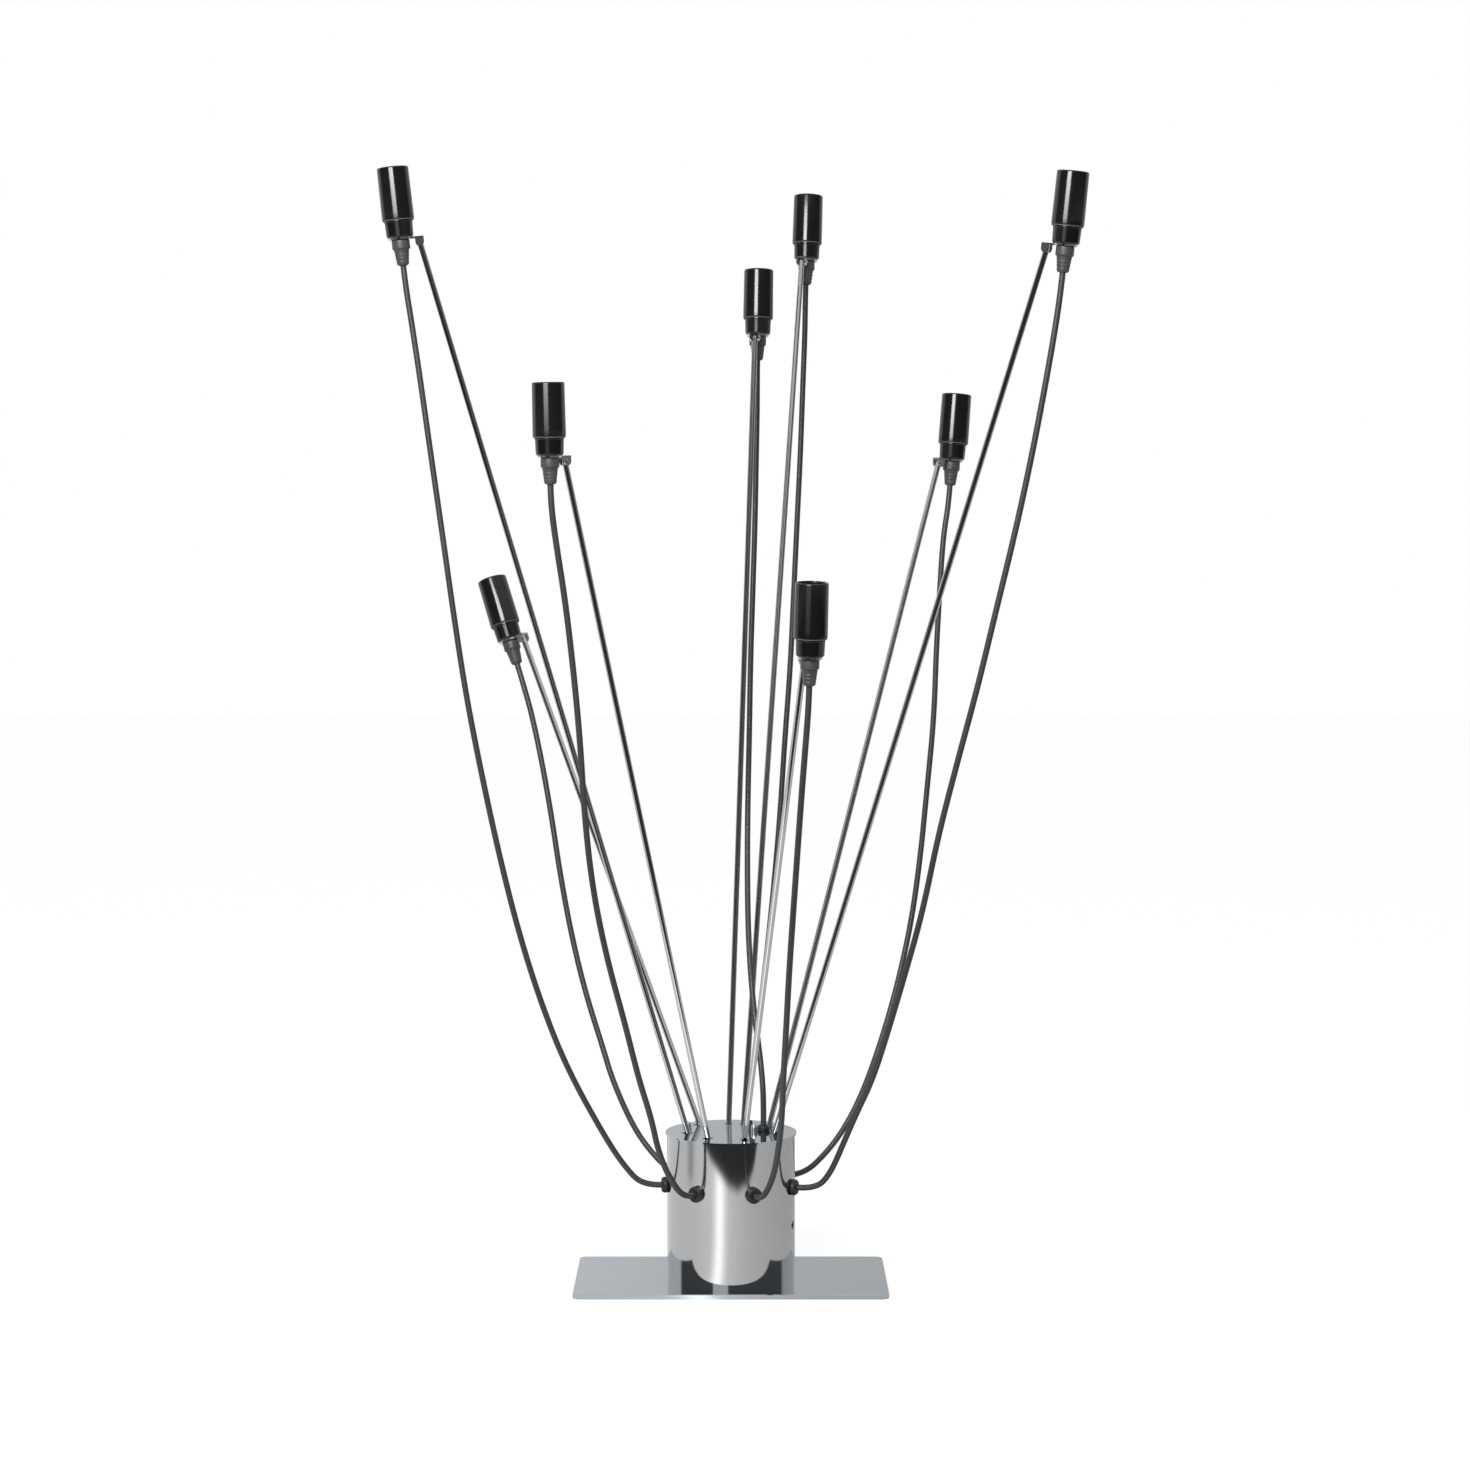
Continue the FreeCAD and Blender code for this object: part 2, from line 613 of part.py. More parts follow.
def build_terminal_block():
    """Round block in the middle of the plate where all leads meet."""
    rim = "sizes.terminalDiameter / 2"
    top = f"{PLATE_TOP} + sizes.terminalHeight"
    edge = "sizes.terminalEdge"
    corners = [("0", PLATE_TOP), (rim, PLATE_TOP), (rim, f"{top} - {edge}"),
               (f"{rim} - {edge}", top), ("0", top)]
    node("terminal_block", turned("terminalBody", corners))


def route_wire(points):
    """Straight runs joined by tangent arcs, each as large as its two runs allow."""
    edges = []
    radii = []
    start = points[0]
    for before, corner, after in zip(points, points[1:], points[2:]):
        incoming = (corner - before).normalize()
        outgoing = (after - corner).normalize()
        half_turn = incoming.getAngle(outgoing) / 2
        shorter = min((corner - before).Length, (after - corner).Length)
        reach = ARC_SHARE * shorter
        radius = reach / math.tan(half_turn)
        radii.append(radius)
        first = corner - incoming * reach
        last = corner + outgoing * reach
        to_centre = (outgoing - incoming).normalize()
        middle = corner + to_centre * (radius / math.cos(half_turn) - radius)
        edges.append(Part.LineSegment(start, first).toShape())
        edges.append(Part.Arc(first, middle, last).toShape())
        start = last
    edges.append(Part.LineSegment(start, points[-1]).toShape())
    return Part.Wire(edges), radii


def tube(points, diameter, name):
    """Round tube along a route; prints its length, least radius and volume against length."""
    wire, radii = route_wire(points)
    direction = (points[1] - points[0]).normalize()
    ring = Part.Wire([Part.makeCircle(diameter / 2, points[0], direction)])
    solid = wire.makePipeShell([ring], True, False)
    ideal = math.pi * diameter * diameter / 4 * wire.Length
    print(f"{name}: length {wire.Length:.1f}, least radius {min(radii):.1f}, "
          f"volume ratio {solid.Volume / ideal:.4f}")
    return solid


def build_inner_leads():
    """Leads inside the drum, from each bushing to the terminal block."""
    height = work_out(BUSHING_HEIGHT)
    lip = lip_depth("sizes.bushingInside / 2")
    start = work_out(f"{DRUM_RADIUS} - {lip} - sizes.bushingInsideLip")
    ring = work_out("sizes.leadRing")
    block = work_out(f"{PLATE_TOP} + sizes.terminalHeight")
    profile = [(start, height), (start - LEAD_STRAIGHT_IN, height)] + LEAD_POINTS
    profile += [(ring, block + LEAD_STRAIGHT_DOWN), (ring, block)]
    leads = []
    for number in DRUM_CORDS:
        azimuth = math.radians(work_out(f"sizes.cordAzimuth_{number}"))
        outward = Vector(math.sin(azimuth), -math.cos(azimuth), 0)
        points = [outward * radius + Vector(0, 0, level) for radius, level in profile]
        leads.append(tube(points, work_out("sizes.leadDiameter"), f"lead {number}"))
    disc_bushing = sheet.evalExpression(bushing_axis(DISC_CORD))
    below = -work_out("sizes.discThickness + sizes.bushingFit + sizes.bushingInsideLip")
    points = [disc_bushing.multVec(Vector(0, 0, below))]
    points += [Vector(*spot) for spot in DISC_LEAD_POINTS]
    points.append(Vector(*DISC_LEAD_END, block))
    leads.append(tube(points, work_out("sizes.leadDiameter"), f"lead {DISC_CORD}"))
    piece = doc.addObject("Part::Feature", "innerLeads")
    piece.Shape = Part.makeCompound(leads)
    node("inner_leads", piece)


def build_rod(number):
    """Round rod with rounded ends, drilled across for a pin at each end."""
    length = f"sizes.rodLength_{number}"
    shaft = cylinder(f"shaft{number}", ROD_RADIUS, length)
    ends = []
    for end, level, low, high in (("Lower", "0", -90, 0), ("Upper", length, 0, 90)):
        dome = doc.addObject("Part::Sphere", f"dome{end}{number}")
        dome.Angle1 = low
        dome.Angle2 = high
        ends.append(bind(dome, Radius=ROD_RADIUS, Placement=moved("0", "0", level)))
    solid = fuse(f"rodSolid{number}", [shaft] + ends)
    radius = "sizes.pinDiameter / 2 + sizes.pinRunning"
    holes = []
    for end, level in (("Lower", "0"), ("Upper", length)):
        across = moved("0", "sizes.rodDiameter", level, "1; 0; 0", "90")
        holes.append(cylinder(f"eye{end}{number}", radius, "2 * sizes.rodDiameter", across))
    rod = cut(f"rodShape{number}", solid, holes)
    node(f"rod_{number}", bind(rod, Placement=arm_frame(number)))


def build_bracket():
    """Washer with a tongue folded into two ears, and the rivet that joins them to a rod."""
    half_ear = "sizes.earLength / 2"
    pin_across = "-sizes.holderReach"
    pin_up = "-sizes.holderDrop"
    under = "-sizes.washerThickness"
    washer = cylinder("washer", "sizes.washerDiameter / 2", "sizes.washerThickness",
                      moved("0", "0", under))
    tongue = box("tongue", f"sizes.holderReach + {half_ear}", EAR_WIDTH, "sizes.washerThickness",
                 moved(f"{pin_across} - {half_ear}", f"-{EAR_WIDTH} / 2", under))
    pieces = [washer, tongue]
    for side, near in (("Front", f"-{EAR_WIDTH} / 2"), ("Back", f"{FORK_SLOT} / 2")):
        pieces.append(box("ear" + side, "sizes.earLength", "sizes.earThickness",
                          "sizes.holderDrop - sizes.washerThickness",
                          moved(f"{pin_across} - {half_ear}", near, pin_up)))
        pieces.append(cylinder("earEnd" + side, half_ear, "sizes.earThickness",
                               moved(pin_across, f"{near} + sizes.earThickness", pin_up,
                                     "1; 0; 0", "90")))
    across = moved(pin_across, EAR_WIDTH, pin_up, "1; 0; 0", "90")
    holes = [
        cylinder("rivetHole", "sizes.pinDiameter / 2 + sizes.pinSeat", f"2 * {EAR_WIDTH}", across),
        cylinder("nippleHole", "sizes.nippleDiameter / 2 + sizes.nippleFit",
                 "3 * sizes.washerThickness", moved("0", "0", f"2 * {under}")),
    ]
    strap = cut("strap", fuse("strapSolid", pieces), holes)
    reach = f"({EAR_WIDTH} / 2 + sizes.rivetHeadHeight)"
    shank = cylinder("rivetShank", "sizes.pinDiameter / 2", f"2 * {reach}",
                     moved(pin_across, reach, pin_up, "1; 0; 0", "90"))
    heads = [shank]
    for side, near in (("Front", f"-{EAR_WIDTH} / 2"), ("Back", reach)):
        heads.append(cylinder("rivetHead" + side, "sizes.rivetHead / 2", "sizes.rivetHeadHeight",
                              moved(pin_across, near, pin_up, "1; 0; 0", "90")))
    return [strap, fuse("rivet", heads)]


def build_lampholder_shell():
    """Tapered outer sleeve, open at the top."""
    bore = "sizes.shellBore / 2"
    bottom = "sizes.shellBottomDiameter / 2"
    top = "sizes.shellTopDiameter / 2"
    low = "sizes.capHeight"
    high = "(sizes.capHeight + sizes.shellHeight)"
    edge = "sizes.shellEdge"
    bulge = f"{edge} * {RIM_BULGE}"
    corners = [(bore, low), (f"{bottom} - {edge} / 2", low), (bottom, f"{low} + {edge} / 2"),
               (top, f"{high} - {edge}"), (f"{top} - {bulge}", f"{high} - {bulge}"),
               (f"{top} - {edge}", high), (f"{bore} + {edge} / 2", high),
               (bore, f"{high} - {edge} / 2")]
    return [turned("shellBody", corners)]


def build_lampholder_base():
    """Cap, insulating disc and block, centre contact and lamp sleeve of a lampholder."""
    thread = "(sizes.nippleDiameter / 2 + sizes.nippleFit)"
    cap_top = "sizes.capTopDiameter / 2"
    cap_bottom = "sizes.capBottomDiameter / 2"
    hollow = "(sizes.capBottomDiameter / 2 - sizes.capWall)"
    edge = "sizes.capEdge"
    cap = turned("capBody", [
        (thread, "0"), (f"{cap_bottom} - {edge}", "0"), (cap_bottom, edge),
        (cap_top, "sizes.capHeight"), (hollow, "sizes.capHeight"), (hollow, "sizes.capFloor"),
        (thread, "sizes.capFloor")])
    insulator_top = "(sizes.capHeight + sizes.insulatorThickness)"
    block_top = f"({insulator_top} + sizes.blockHeight)"
    shoulder = f"({block_top} + sizes.contactHeight)"
    insulator = cylinder("insulator", "sizes.shellBore / 2 - sizes.insulatorGap",
                         "sizes.insulatorThickness", moved("0", "0", "sizes.capHeight"))
    block = cylinder("block", "sizes.blockDiameter / 2", "sizes.blockHeight",
                     moved("0", "0", insulator_top))
    contact = cylinder("contact", "sizes.contactDiameter / 2", "sizes.contactHeight",
                       moved("0", "0", block_top))
    bore = "sizes.sleeveBore / 2"
    outside = f"({bore} + sizes.sleeveWall)"
    neck = "(sizes.blockDiameter / 2 + sizes.blockFit)"
    sleeve_top = f"({shoulder} + sizes.sleeveHeight)"
    sleeve = turned("sleeveBody", [
        (neck, insulator_top), (outside, insulator_top), (outside, sleeve_top),
        (bore, sleeve_top), (bore, shoulder), (neck, shoulder)])
    return [cap, insulator, block, contact, sleeve]


def build_strain_relief():
    """Screwed collar with a tapering, grooved gland under it and a threaded nipple on top."""
    bore = "sizes.wireBore / 2"
    nipple = "sizes.nippleDiameter / 2"
    collar = "sizes.collarDiameter / 2"
    edge = "sizes.collarEdge"
    top = "-sizes.washerThickness"
    collar_low = "-(sizes.washerThickness + sizes.collarHeight)"
    gland_top = "sizes.glandTopDiameter / 2"
    gland_bottom = "sizes.glandBottomDiameter / 2"
    corners = [(bore, f"-{RELIEF_END}"), (f"{gland_bottom} - sizes.glandEdge", f"-{RELIEF_END}"),
               (gland_bottom, f"sizes.glandEdge - {RELIEF_END}")]
    for share in GLAND_GROOVES:
        radius = f"({gland_bottom} + ({gland_top} - {gland_bottom}) * {share})"
        level = f"({collar_low} - sizes.glandLength * {1 - share:.2f})"
        corners += [(radius, f"{level} - sizes.grooveWidth / 2"),
                    (f"{radius} - sizes.glandGroove", f"{level} - sizes.grooveWidth / 4"),
                    (f"{radius} - sizes.glandGroove", f"{level} + sizes.grooveWidth / 4"),
                    (radius, f"{level} + sizes.grooveWidth / 2")]
    corners += [(gland_top, collar_low), (f"{collar} - {edge}", collar_low),
                (collar, f"{collar_low} + {edge}"), (collar, f"{top} - {edge}"),
                (f"{collar} - {edge}", top), (nipple, top),
                (nipple, f"{top} + sizes.nippleLength"), (bore, f"{top} + sizes.nippleLength")]
    return [turned("reliefBody", corners)]


def build_cord(number):
    """Cord of one arm, from its strain relief down to its bushing."""
    holder = sheet.evalExpression(holder_frame(number))
    relief_end = Vector(0, 0, -work_out(RELIEF_END))
    first = holder.multVec(relief_end)
    second = holder.multVec(relief_end - Vector(0, 0, work_out("sizes.cordExitRun")))
    bushing = sheet.evalExpression(bushing_axis(number))
    lip = work_out("sizes.discBushingLip" if number == DISC_CORD else "sizes.bushingLip")
    last = bushing.multVec(Vector(0, 0, lip))
    before_last = bushing.multVec(Vector(0, 0, lip + work_out("sizes.cordEntryRun")))
    middle = [Vector(*spot) for spot in CORD_POINTS[number]]
    points = [first, second] + middle + [before_last, last]
    piece = doc.addObject("Part::Feature", f"cordShape{number}")
    piece.Shape = tube(points, work_out("sizes.cordDiameter"), f"cord {number}")
    node(f"cord_{number}", piece)


def check_and_export():
    """Stop on any failed object or shape, then write each sub-part to its own file."""
    doc.recompute()
    for thing in doc.Objects:
        if "Invalid" in thing.State or "Error" in thing.State:
            raise RuntimeError(f"{thing.Label}: {thing.State}")
    os.makedirs("parts", exist_ok=True)
    for name, piece in nodes.items():
        shape = piece.Shape
        if shape.isNull() or not shape.isValid() or not shape.Solids:
            raise RuntimeError(f"{name}: bad shape")
    for name, piece in nodes.items():
        piece.Shape.exportStep(f"parts/{name}.step")
        print(name, len(piece.Shape.Solids), round(piece.Shape.Volume, 1))


def main():
    """Build every sub-part."""
    fill_sheet()
    build_base_plate()
    build_drum()
    build_drum_screws()
    build_top_disc()
    build_disc_nuts()
    build_carrier_plate()
    build_pivot_forks()
    build_cord_bushings()
    build_inlet_grommet()
    build_terminal_block()
    build_inner_leads()
    holder_pieces = {
        "bracket": build_bracket(),
        "holder_shell": build_lampholder_shell(),
        "holder_base": build_lampholder_base(),
        "strain_relief": build_strain_relief(),
    }
    for number in ARMS:
        build_rod(number)
        for name, pieces in holder_pieces.items():
            label = f"{name}_{number}"
            node(label, group(label + "_placed", pieces, holder_frame(number)))
        build_cord(number)
    check_and_export()


main()
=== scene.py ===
import math

import bpy
from mathutils import Matrix, Vector


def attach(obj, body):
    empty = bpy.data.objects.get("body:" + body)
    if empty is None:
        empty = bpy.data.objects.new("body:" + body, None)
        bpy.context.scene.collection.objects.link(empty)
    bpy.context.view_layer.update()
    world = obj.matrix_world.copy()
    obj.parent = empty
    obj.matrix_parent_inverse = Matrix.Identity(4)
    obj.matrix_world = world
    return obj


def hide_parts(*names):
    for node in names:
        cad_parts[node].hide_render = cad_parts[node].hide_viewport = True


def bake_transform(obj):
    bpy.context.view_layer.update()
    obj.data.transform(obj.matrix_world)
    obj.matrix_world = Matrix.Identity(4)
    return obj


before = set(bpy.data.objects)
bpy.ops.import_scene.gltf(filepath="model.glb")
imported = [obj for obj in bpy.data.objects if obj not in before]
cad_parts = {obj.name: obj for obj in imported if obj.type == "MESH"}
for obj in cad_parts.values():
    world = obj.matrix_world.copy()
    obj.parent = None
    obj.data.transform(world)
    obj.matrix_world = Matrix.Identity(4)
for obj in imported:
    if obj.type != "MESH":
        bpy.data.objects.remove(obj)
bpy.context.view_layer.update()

MM = 0.001
MERGE_DISTANCE = 1e-6
ARM_NUMBERS = range(1, 9)

# Azimuths are in degrees from the front (-Y) towards the right (+X), sizes in millimetres
FOOT_RING = 33.5
PIVOT_HEIGHT = 114.8
HOLDER_REACH = 15.5
HOLDER_DROP = 4.5
RELIEF_END = 22.5
BUSHING_HEIGHT = 82.8
BUSHING_LIP = 5
DISC_BUSHING = (27.5, 5, 126.8)
DISC_BUSHING_LIP = 4.6
DRUM_RADIUS = 54
CORD_DIAMETER = 5
CORD_RADIUS = CORD_DIAMETER / 2
STRAIGHT_RUN = 16

# Percentage of a cord's points in its lower half
LOWER_SHARE = 55

# Per arm: azimuth of its foot, azimuth it leans to, lean, rod length, lampholder's lean,
# azimuth of its cord's bushing in the drum
ARMS = {
    1: (-78, -84, 16.5, 787, 6, -83),
    2: (163, 163, 13.5, 778, 6, 174),
    3: (184, 170, 11, 700, 5, None),
    4: (80, 65, 18, 781, 6, 71.5),
    5: (-30, -46, 15.5, 595, 1.5, -31.5),
    6: (120, 129, 18.8, 609, 5.5, 123),
    7: (-139, -128.5, 26, 470, 22, 225.5),
    8: (17, 15, 23.5, 457, 5.5, 20),
}

# The cord with no bushing in the drum's wall enters through the disc
DISC_CORD = next(number for number in ARM_NUMBERS if ARMS[number][-1] is None)

# Routes of the cords between their two straight ends, from the lampholder down
CORD_POINTS = {
    1: [(-262, -31, 803), (-255, -31, 755), (-247, -30, 695), (-238, -29, 630), (-229, -29, 563),
        (-219, -28, 495), (-206, -27, 427), (-192, -26, 361), (-176, -25, 296), (-157, -23, 235),
        (-136, -22, 182), (-105, -17, 124), (-89, -13, 99)],
    2: [(66, 216, 807), (64, 213, 757), (62, 210, 700), (59, 204, 640), (56, 198, 577),
        (53, 190, 512), (48, 182, 448), (44, 173, 386), (39, 162, 328), (33, 148, 272),
        (27, 133, 222), (21, 117, 178), (17, 104, 142), (13, 96, 115), (10, 87, 96)],
    3: [(23, 176, 737), (22, 172, 690), (21, 165, 635), (19, 153, 577), (17, 139, 517),
        (16, 122, 457), (14.5, 102, 396), (14, 80, 336), (15, 54, 280), (19, 30, 228),
        (24.5, 15, 190), (27, 8, 165)],
    4: [(258, -111, 790), (250, -108, 742), (240, -104, 687), (228, -99, 629), (214, -94, 569),
        (200, -88, 507), (184, -82, 445), (169, -76, 384), (157, -72, 322), (142, -66, 266),
        (127, -60, 213), (117, -50, 179), (103, -42, 147), (95, -38, 127), (83, -28, 96)],
    5: [(-138, -146, 624), (-131, -140, 577), (-125, -135, 522), (-120, -131, 465),
        (-117, -127, 406), (-111, -122, 347), (-100, -113, 289), (-86, -102, 235),
        (-75, -92, 187), (-65, -83, 153), (-60, -82, 128), (-52, -79, 106)],
    6: [(186, 144, 626), (183, 140, 580), (180, 137, 527), (178, 133, 468), (172, 128, 408),
        (166, 122, 348), (158, 114, 292), (146, 102, 240), (131, 87, 191), (113, 66, 146),
        (96, 56, 116), (80, 49, 97)],
    7: [(-176, 147, 472), (-167, 139, 432), (-158, 130, 384), (-150, 121, 333), (-140, 112, 281),
        (-127, 100, 230), (-111, 86, 183), (-103, 77, 158), (-87, 68, 123), (-73, 62, 102)],
    8: [(58, -216, 470), (55, -210, 430), (52, -201, 384), (49, -191, 336), (46, -180, 288),
        (44, -167, 242), (42, -150, 199), (41, -130, 159), (38, -115, 129), (34, -98, 105)],
}


def outward(azimuth):
    """Level direction at an azimuth."""
    turn = math.radians(azimuth)
    return Vector((math.sin(turn), -math.cos(turn), 0))


def rod_direction(number):
    """Direction from a rod's lower pin to its upper one."""
    lean = math.radians(ARMS[number][2])
    return outward(ARMS[number][1]) * math.sin(lean) + Vector((0, 0, math.cos(lean)))


def pivot_point(number):
    """Centre of a rod's lower pin, in millimetres."""
    return outward(ARMS[number][0]) * FOOT_RING + Vector((0, 0, PIVOT_HEIGHT))


def tip_point(number):
    """Centre of a rod's upper pin, in millimetres."""
    return pivot_point(number) + rod_direction(number) * ARMS[number][3]


def holder_place(number):
    """Place of a lampholder in metres: origin in its cap's underside, Z up its axis, X off the rod."""
    lean = math.radians(ARMS[number][4])
    level = outward(ARMS[number][1])
    up = level * math.sin(lean) + Vector((0, 0, math.cos(lean)))
    side = level * math.cos(lean) - Vector((0, 0, math.sin(lean)))
    across = up.cross(side)
    origin = (tip_point(number) + side * HOLDER_REACH + up * HOLDER_DROP) * MM
    place = Matrix((side, across, up)).transposed().to_4x4()
    place.translation = origin
    return place


def bushing_place(number):
    """Place of a cord bushing in metres: origin on the drum's or the disc's face, Z outwards."""
    if number == DISC_CORD:
        return Matrix.Translation(Vector(DISC_BUSHING) * MM)
    out = outward(ARMS[number][5])
    up = Vector((0, 0, 1))
    place = Matrix((up, out.cross(up), out)).transposed().to_4x4()
    place.translation = (out * DRUM_RADIUS + Vector((0, 0, BUSHING_HEIGHT))) * MM
    return place


def cord_route(number):
    """Control points of a cord in metres, from the bushing up to the strain relief."""
    place = holder_place(number)
    top = place @ Vector((0, 0, -RELIEF_END * MM))
    below = place @ Vector((0, 0, -(RELIEF_END + STRAIGHT_RUN) * MM))
    bushing = bushing_place(number)
    lip = DISC_BUSHING_LIP if number == DISC_CORD else BUSHING_LIP
    entry = bushing @ Vector((0, 0, lip * MM))
    before = bushing @ Vector((0, 0, (lip + STRAIGHT_RUN) * MM))
    middle = [Vector(spot) * MM for spot in reversed(CORD_POINTS[number])]
    return [entry, before] + middle + [below, top]


def clear_selection():
    """Object mode with nothing selected."""
    if bpy.context.object and bpy.context.object.mode != "OBJECT":
        bpy.ops.object.mode_set(mode="OBJECT")
    bpy.ops.object.select_all(action="DESELECT")


def pick(thing):
    """Make one object the selected and active one."""
    clear_selection()
    thing.select_set(True)
    bpy.context.view_layer.objects.active = thing


def edit_all():
    """Edit mode with the whole active mesh selected."""
    bpy.ops.object.mode_set(mode="EDIT")
    bpy.ops.mesh.select_all(action="SELECT")


def face_outwards(merge=True):
    """Merge the active mesh's doubled points if asked, and turn its faces outwards."""
    edit_all()
    if merge:
        bpy.ops.mesh.remove_doubles(threshold=MERGE_DISTANCE)
    bpy.ops.mesh.normals_make_consistent(inside=False)
    bpy.ops.object.mode_set(mode="OBJECT")


def smooth_up_to(degrees):
    """Shade the active mesh smooth, apart from edges sharper than an angle."""
    bpy.ops.object.shade_smooth_by_angle(angle=math.radians(degrees))


# Camera at the photograph's viewpoint, in metres, tilted down in degrees
CAMERA_PLACE = (0.00342, -2.75, 0.6431)
CAMERA_TILT = 3.7752
CAMERA_LENS = 80.62
SENSOR_WIDTH = 36
NEAREST, FARTHEST = 0.05, 60

camera_data = bpy.data.cameras.new("camera")
camera_data.sensor_fit = "HORIZONTAL"
camera_data.sensor_width = SENSOR_WIDTH
camera_data.lens = CAMERA_LENS
camera_data.clip_start = NEAREST
camera_data.clip_end = FARTHEST
camera = bpy.data.objects.new("camera", camera_data)
camera.location = CAMERA_PLACE
camera.rotation_euler = (math.radians(90 - CAMERA_TILT), 0, 0)
bpy.context.collection.objects.link(camera)
bpy.context.scene.camera = camera


# Cords, each in two halves that meet beside the rod
ROUTE_STEPS = 10
CORD_ROUNDNESS = 5
CORD_CREASE = 50


def add_spline(data, kind, points):
    """New spline of a curve through or along a line of points."""
    spline = data.splines.new(kind)
    spline.points.add(len(points) - 1)
    for slot, spot in zip(spline.points, points):
        slot.co = (*spot, 1)
    return spline


def route_curve(name, points):
    """Smooth line along a cord's control points, read back as closely spaced points."""
    data = bpy.data.curves.new(name, "CURVE")
    data.dimensions = "3D"
    data.resolution_u = ROUTE_STEPS
    spline = add_spline(data, "NURBS", points)
    spline.order_u = 3
    spline.use_endpoint_u = True
    curve = bpy.data.objects.new(name, data)
    bpy.context.collection.objects.link(curve)
    bpy.context.view_layer.update()
    drawn = curve.evaluated_get(bpy.context.evaluated_depsgraph_get())
    shape = bpy.data.meshes.new_from_object(drawn)
    line = [vertex.co.copy() for vertex in shape.vertices]
    bpy.data.objects.remove(curve)
    bpy.data.meshes.remove(shape)
    return line


def tube_along(name, line, diameter):
    """Round closed tube that follows a line of points."""
    data = bpy.data.curves.new(name, "CURVE")
    data.dimensions = "3D"
    data.bevel_depth = diameter / 2
    data.bevel_resolution = CORD_ROUNDNESS
    data.use_fill_caps = True
    add_spline(data, "POLY", line)
    piece = bpy.data.objects.new(name, data)
    bpy.context.collection.objects.link(piece)
    pick(piece)
    bpy.ops.object.convert(target="MESH")
    face_outwards()
    smooth_up_to(CORD_CREASE)
    return bpy.context.object


cords = []
for number in ARM_NUMBERS:
    line = route_curve(f"route_{number}", cord_route(number))
    split = len(line) * LOWER_SHARE // 100
    halves = {"lower": line[:split + 1], "upper": line[split:]}
    for half, part in halves.items():
        piece = tube_along(f"cord_{half}_{number}", part, CORD_DIAMETER * MM)
        if half == "lower":
            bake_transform(piece)
        else:
            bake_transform(piece)
        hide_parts(f"cord_{number}")
        cords.append(piece)


# Turned pieces: smallest corner that is rounded and largest one that is shaded smooth, in degrees
ROUNDED_CORNER = 25
TURNED_CREASE = 35


def first_ring(name, sides, radius, height):
    """New mesh of one ring round Z, selected in edit mode. Sizes are in millimetres."""
    clear_selection()
    bpy.ops.mesh.primitive_circle_add(vertices=sides, radius=radius * MM, location=(0, 0, height * MM))
    piece = bpy.context.object
    piece.name = name
    bpy.ops.object.transform_apply(location=True)
    edit_all()
    return piece


def extrude_up(rise):
    """Extrude the selected ring by a rise in millimetres."""
    bpy.ops.mesh.extrude_region_move(TRANSFORM_OT_translate={"value": (0, 0, rise * MM)})


def turned_shape(name, rings, sides=48, rounding=0.3):
    """Shape turned about Z from a closed outline of radius and height, with rounded corners."""
    radius, height = rings[0]
    piece = first_ring(name, sides, radius, height)
    for (wide, low), (next_wide, next_low) in zip(rings, rings[1:] + rings[:1]):
        extrude_up(next_low - low)
        scale = next_wide / wide
        bpy.ops.transform.resize(value=(scale, scale, 1), center_override=(0, 0, next_low * MM))
    face_outwards()
    bevel = piece.modifiers.new("rounding", "BEVEL")
    bevel.width = rounding * MM
    bevel.segments = 3
    bevel.limit_method = "ANGLE"
    bevel.angle_limit = math.radians(ROUNDED_CORNER)
    bpy.ops.object.modifier_apply(modifier=bevel.name)
    smooth_up_to(TURNED_CREASE)
    return piece


def placed_copy(pattern, place, name):
    """Copy of a piece with its own mesh, moved to its place."""
    copy = pattern.copy()
    copy.data = pattern.data.copy()
    copy.data.transform(place)
    copy.name = name
    bpy.context.collection.objects.link(copy)
    return copy


def discard(pattern):
    """Remove a pattern that has been copied."""
    mesh = pattern.data
    bpy.data.objects.remove(pattern)
    bpy.data.meshes.remove(mesh)


# Lampholder pieces, modelled once round Z and copied to all eight arms. Their outlines are lists
# of radius and height in millimetres.
CAP_TOP = 14.7
INSULATOR_TOP = 18.7
BLOCK_TOP = 23.7
CONTACT_TOP = 26.7
SLEEVE_TOP = 50.7
MOUTH = 57.5
HUB = 0.01


def model_shell():
    """Tapered outer sleeve with a rounded rim."""
    rings = [(10.9, CAP_TOP), (12.8, CAP_TOP), (13.2, CAP_TOP + 0.5), (13.2, 20), (12.9, MOUTH - 0.9),
             (12.4, MOUTH), (11.4, MOUTH), (10.9, MOUTH - 0.6), (10.9, 40)]
    return turned_shape("shell_pattern", rings, sides=64)


def model_cap():
    """Cap under the shell, with a rounded lower edge and a slightly raised collar at the seam."""
    rings = [(5, 0), (9.7, 0), (11.05, 1.3), (11.45, 12.6), (11.8, 12.9), (11.8, CAP_TOP - 0.2),
             (11.5, CAP_TOP), (8.65, CAP_TOP), (8.65, 2.6), (5, 2.6)]
    return turned_shape("cap_pattern", rings, sides=64, rounding=0.25)


def model_seam_highlight():
    """Thin pale ring in the seam between the shell and the cap, a painted highlight where light catches
    the seam line.
    """
    rings = [(11.6, CAP_TOP - 0.75), (12.6, CAP_TOP - 0.75), (12.95, CAP_TOP - 0.4), (12.95, CAP_TOP),
             (11.6, CAP_TOP)]
    return turned_shape("seam_highlight_pattern", rings, sides=64, rounding=0.1)


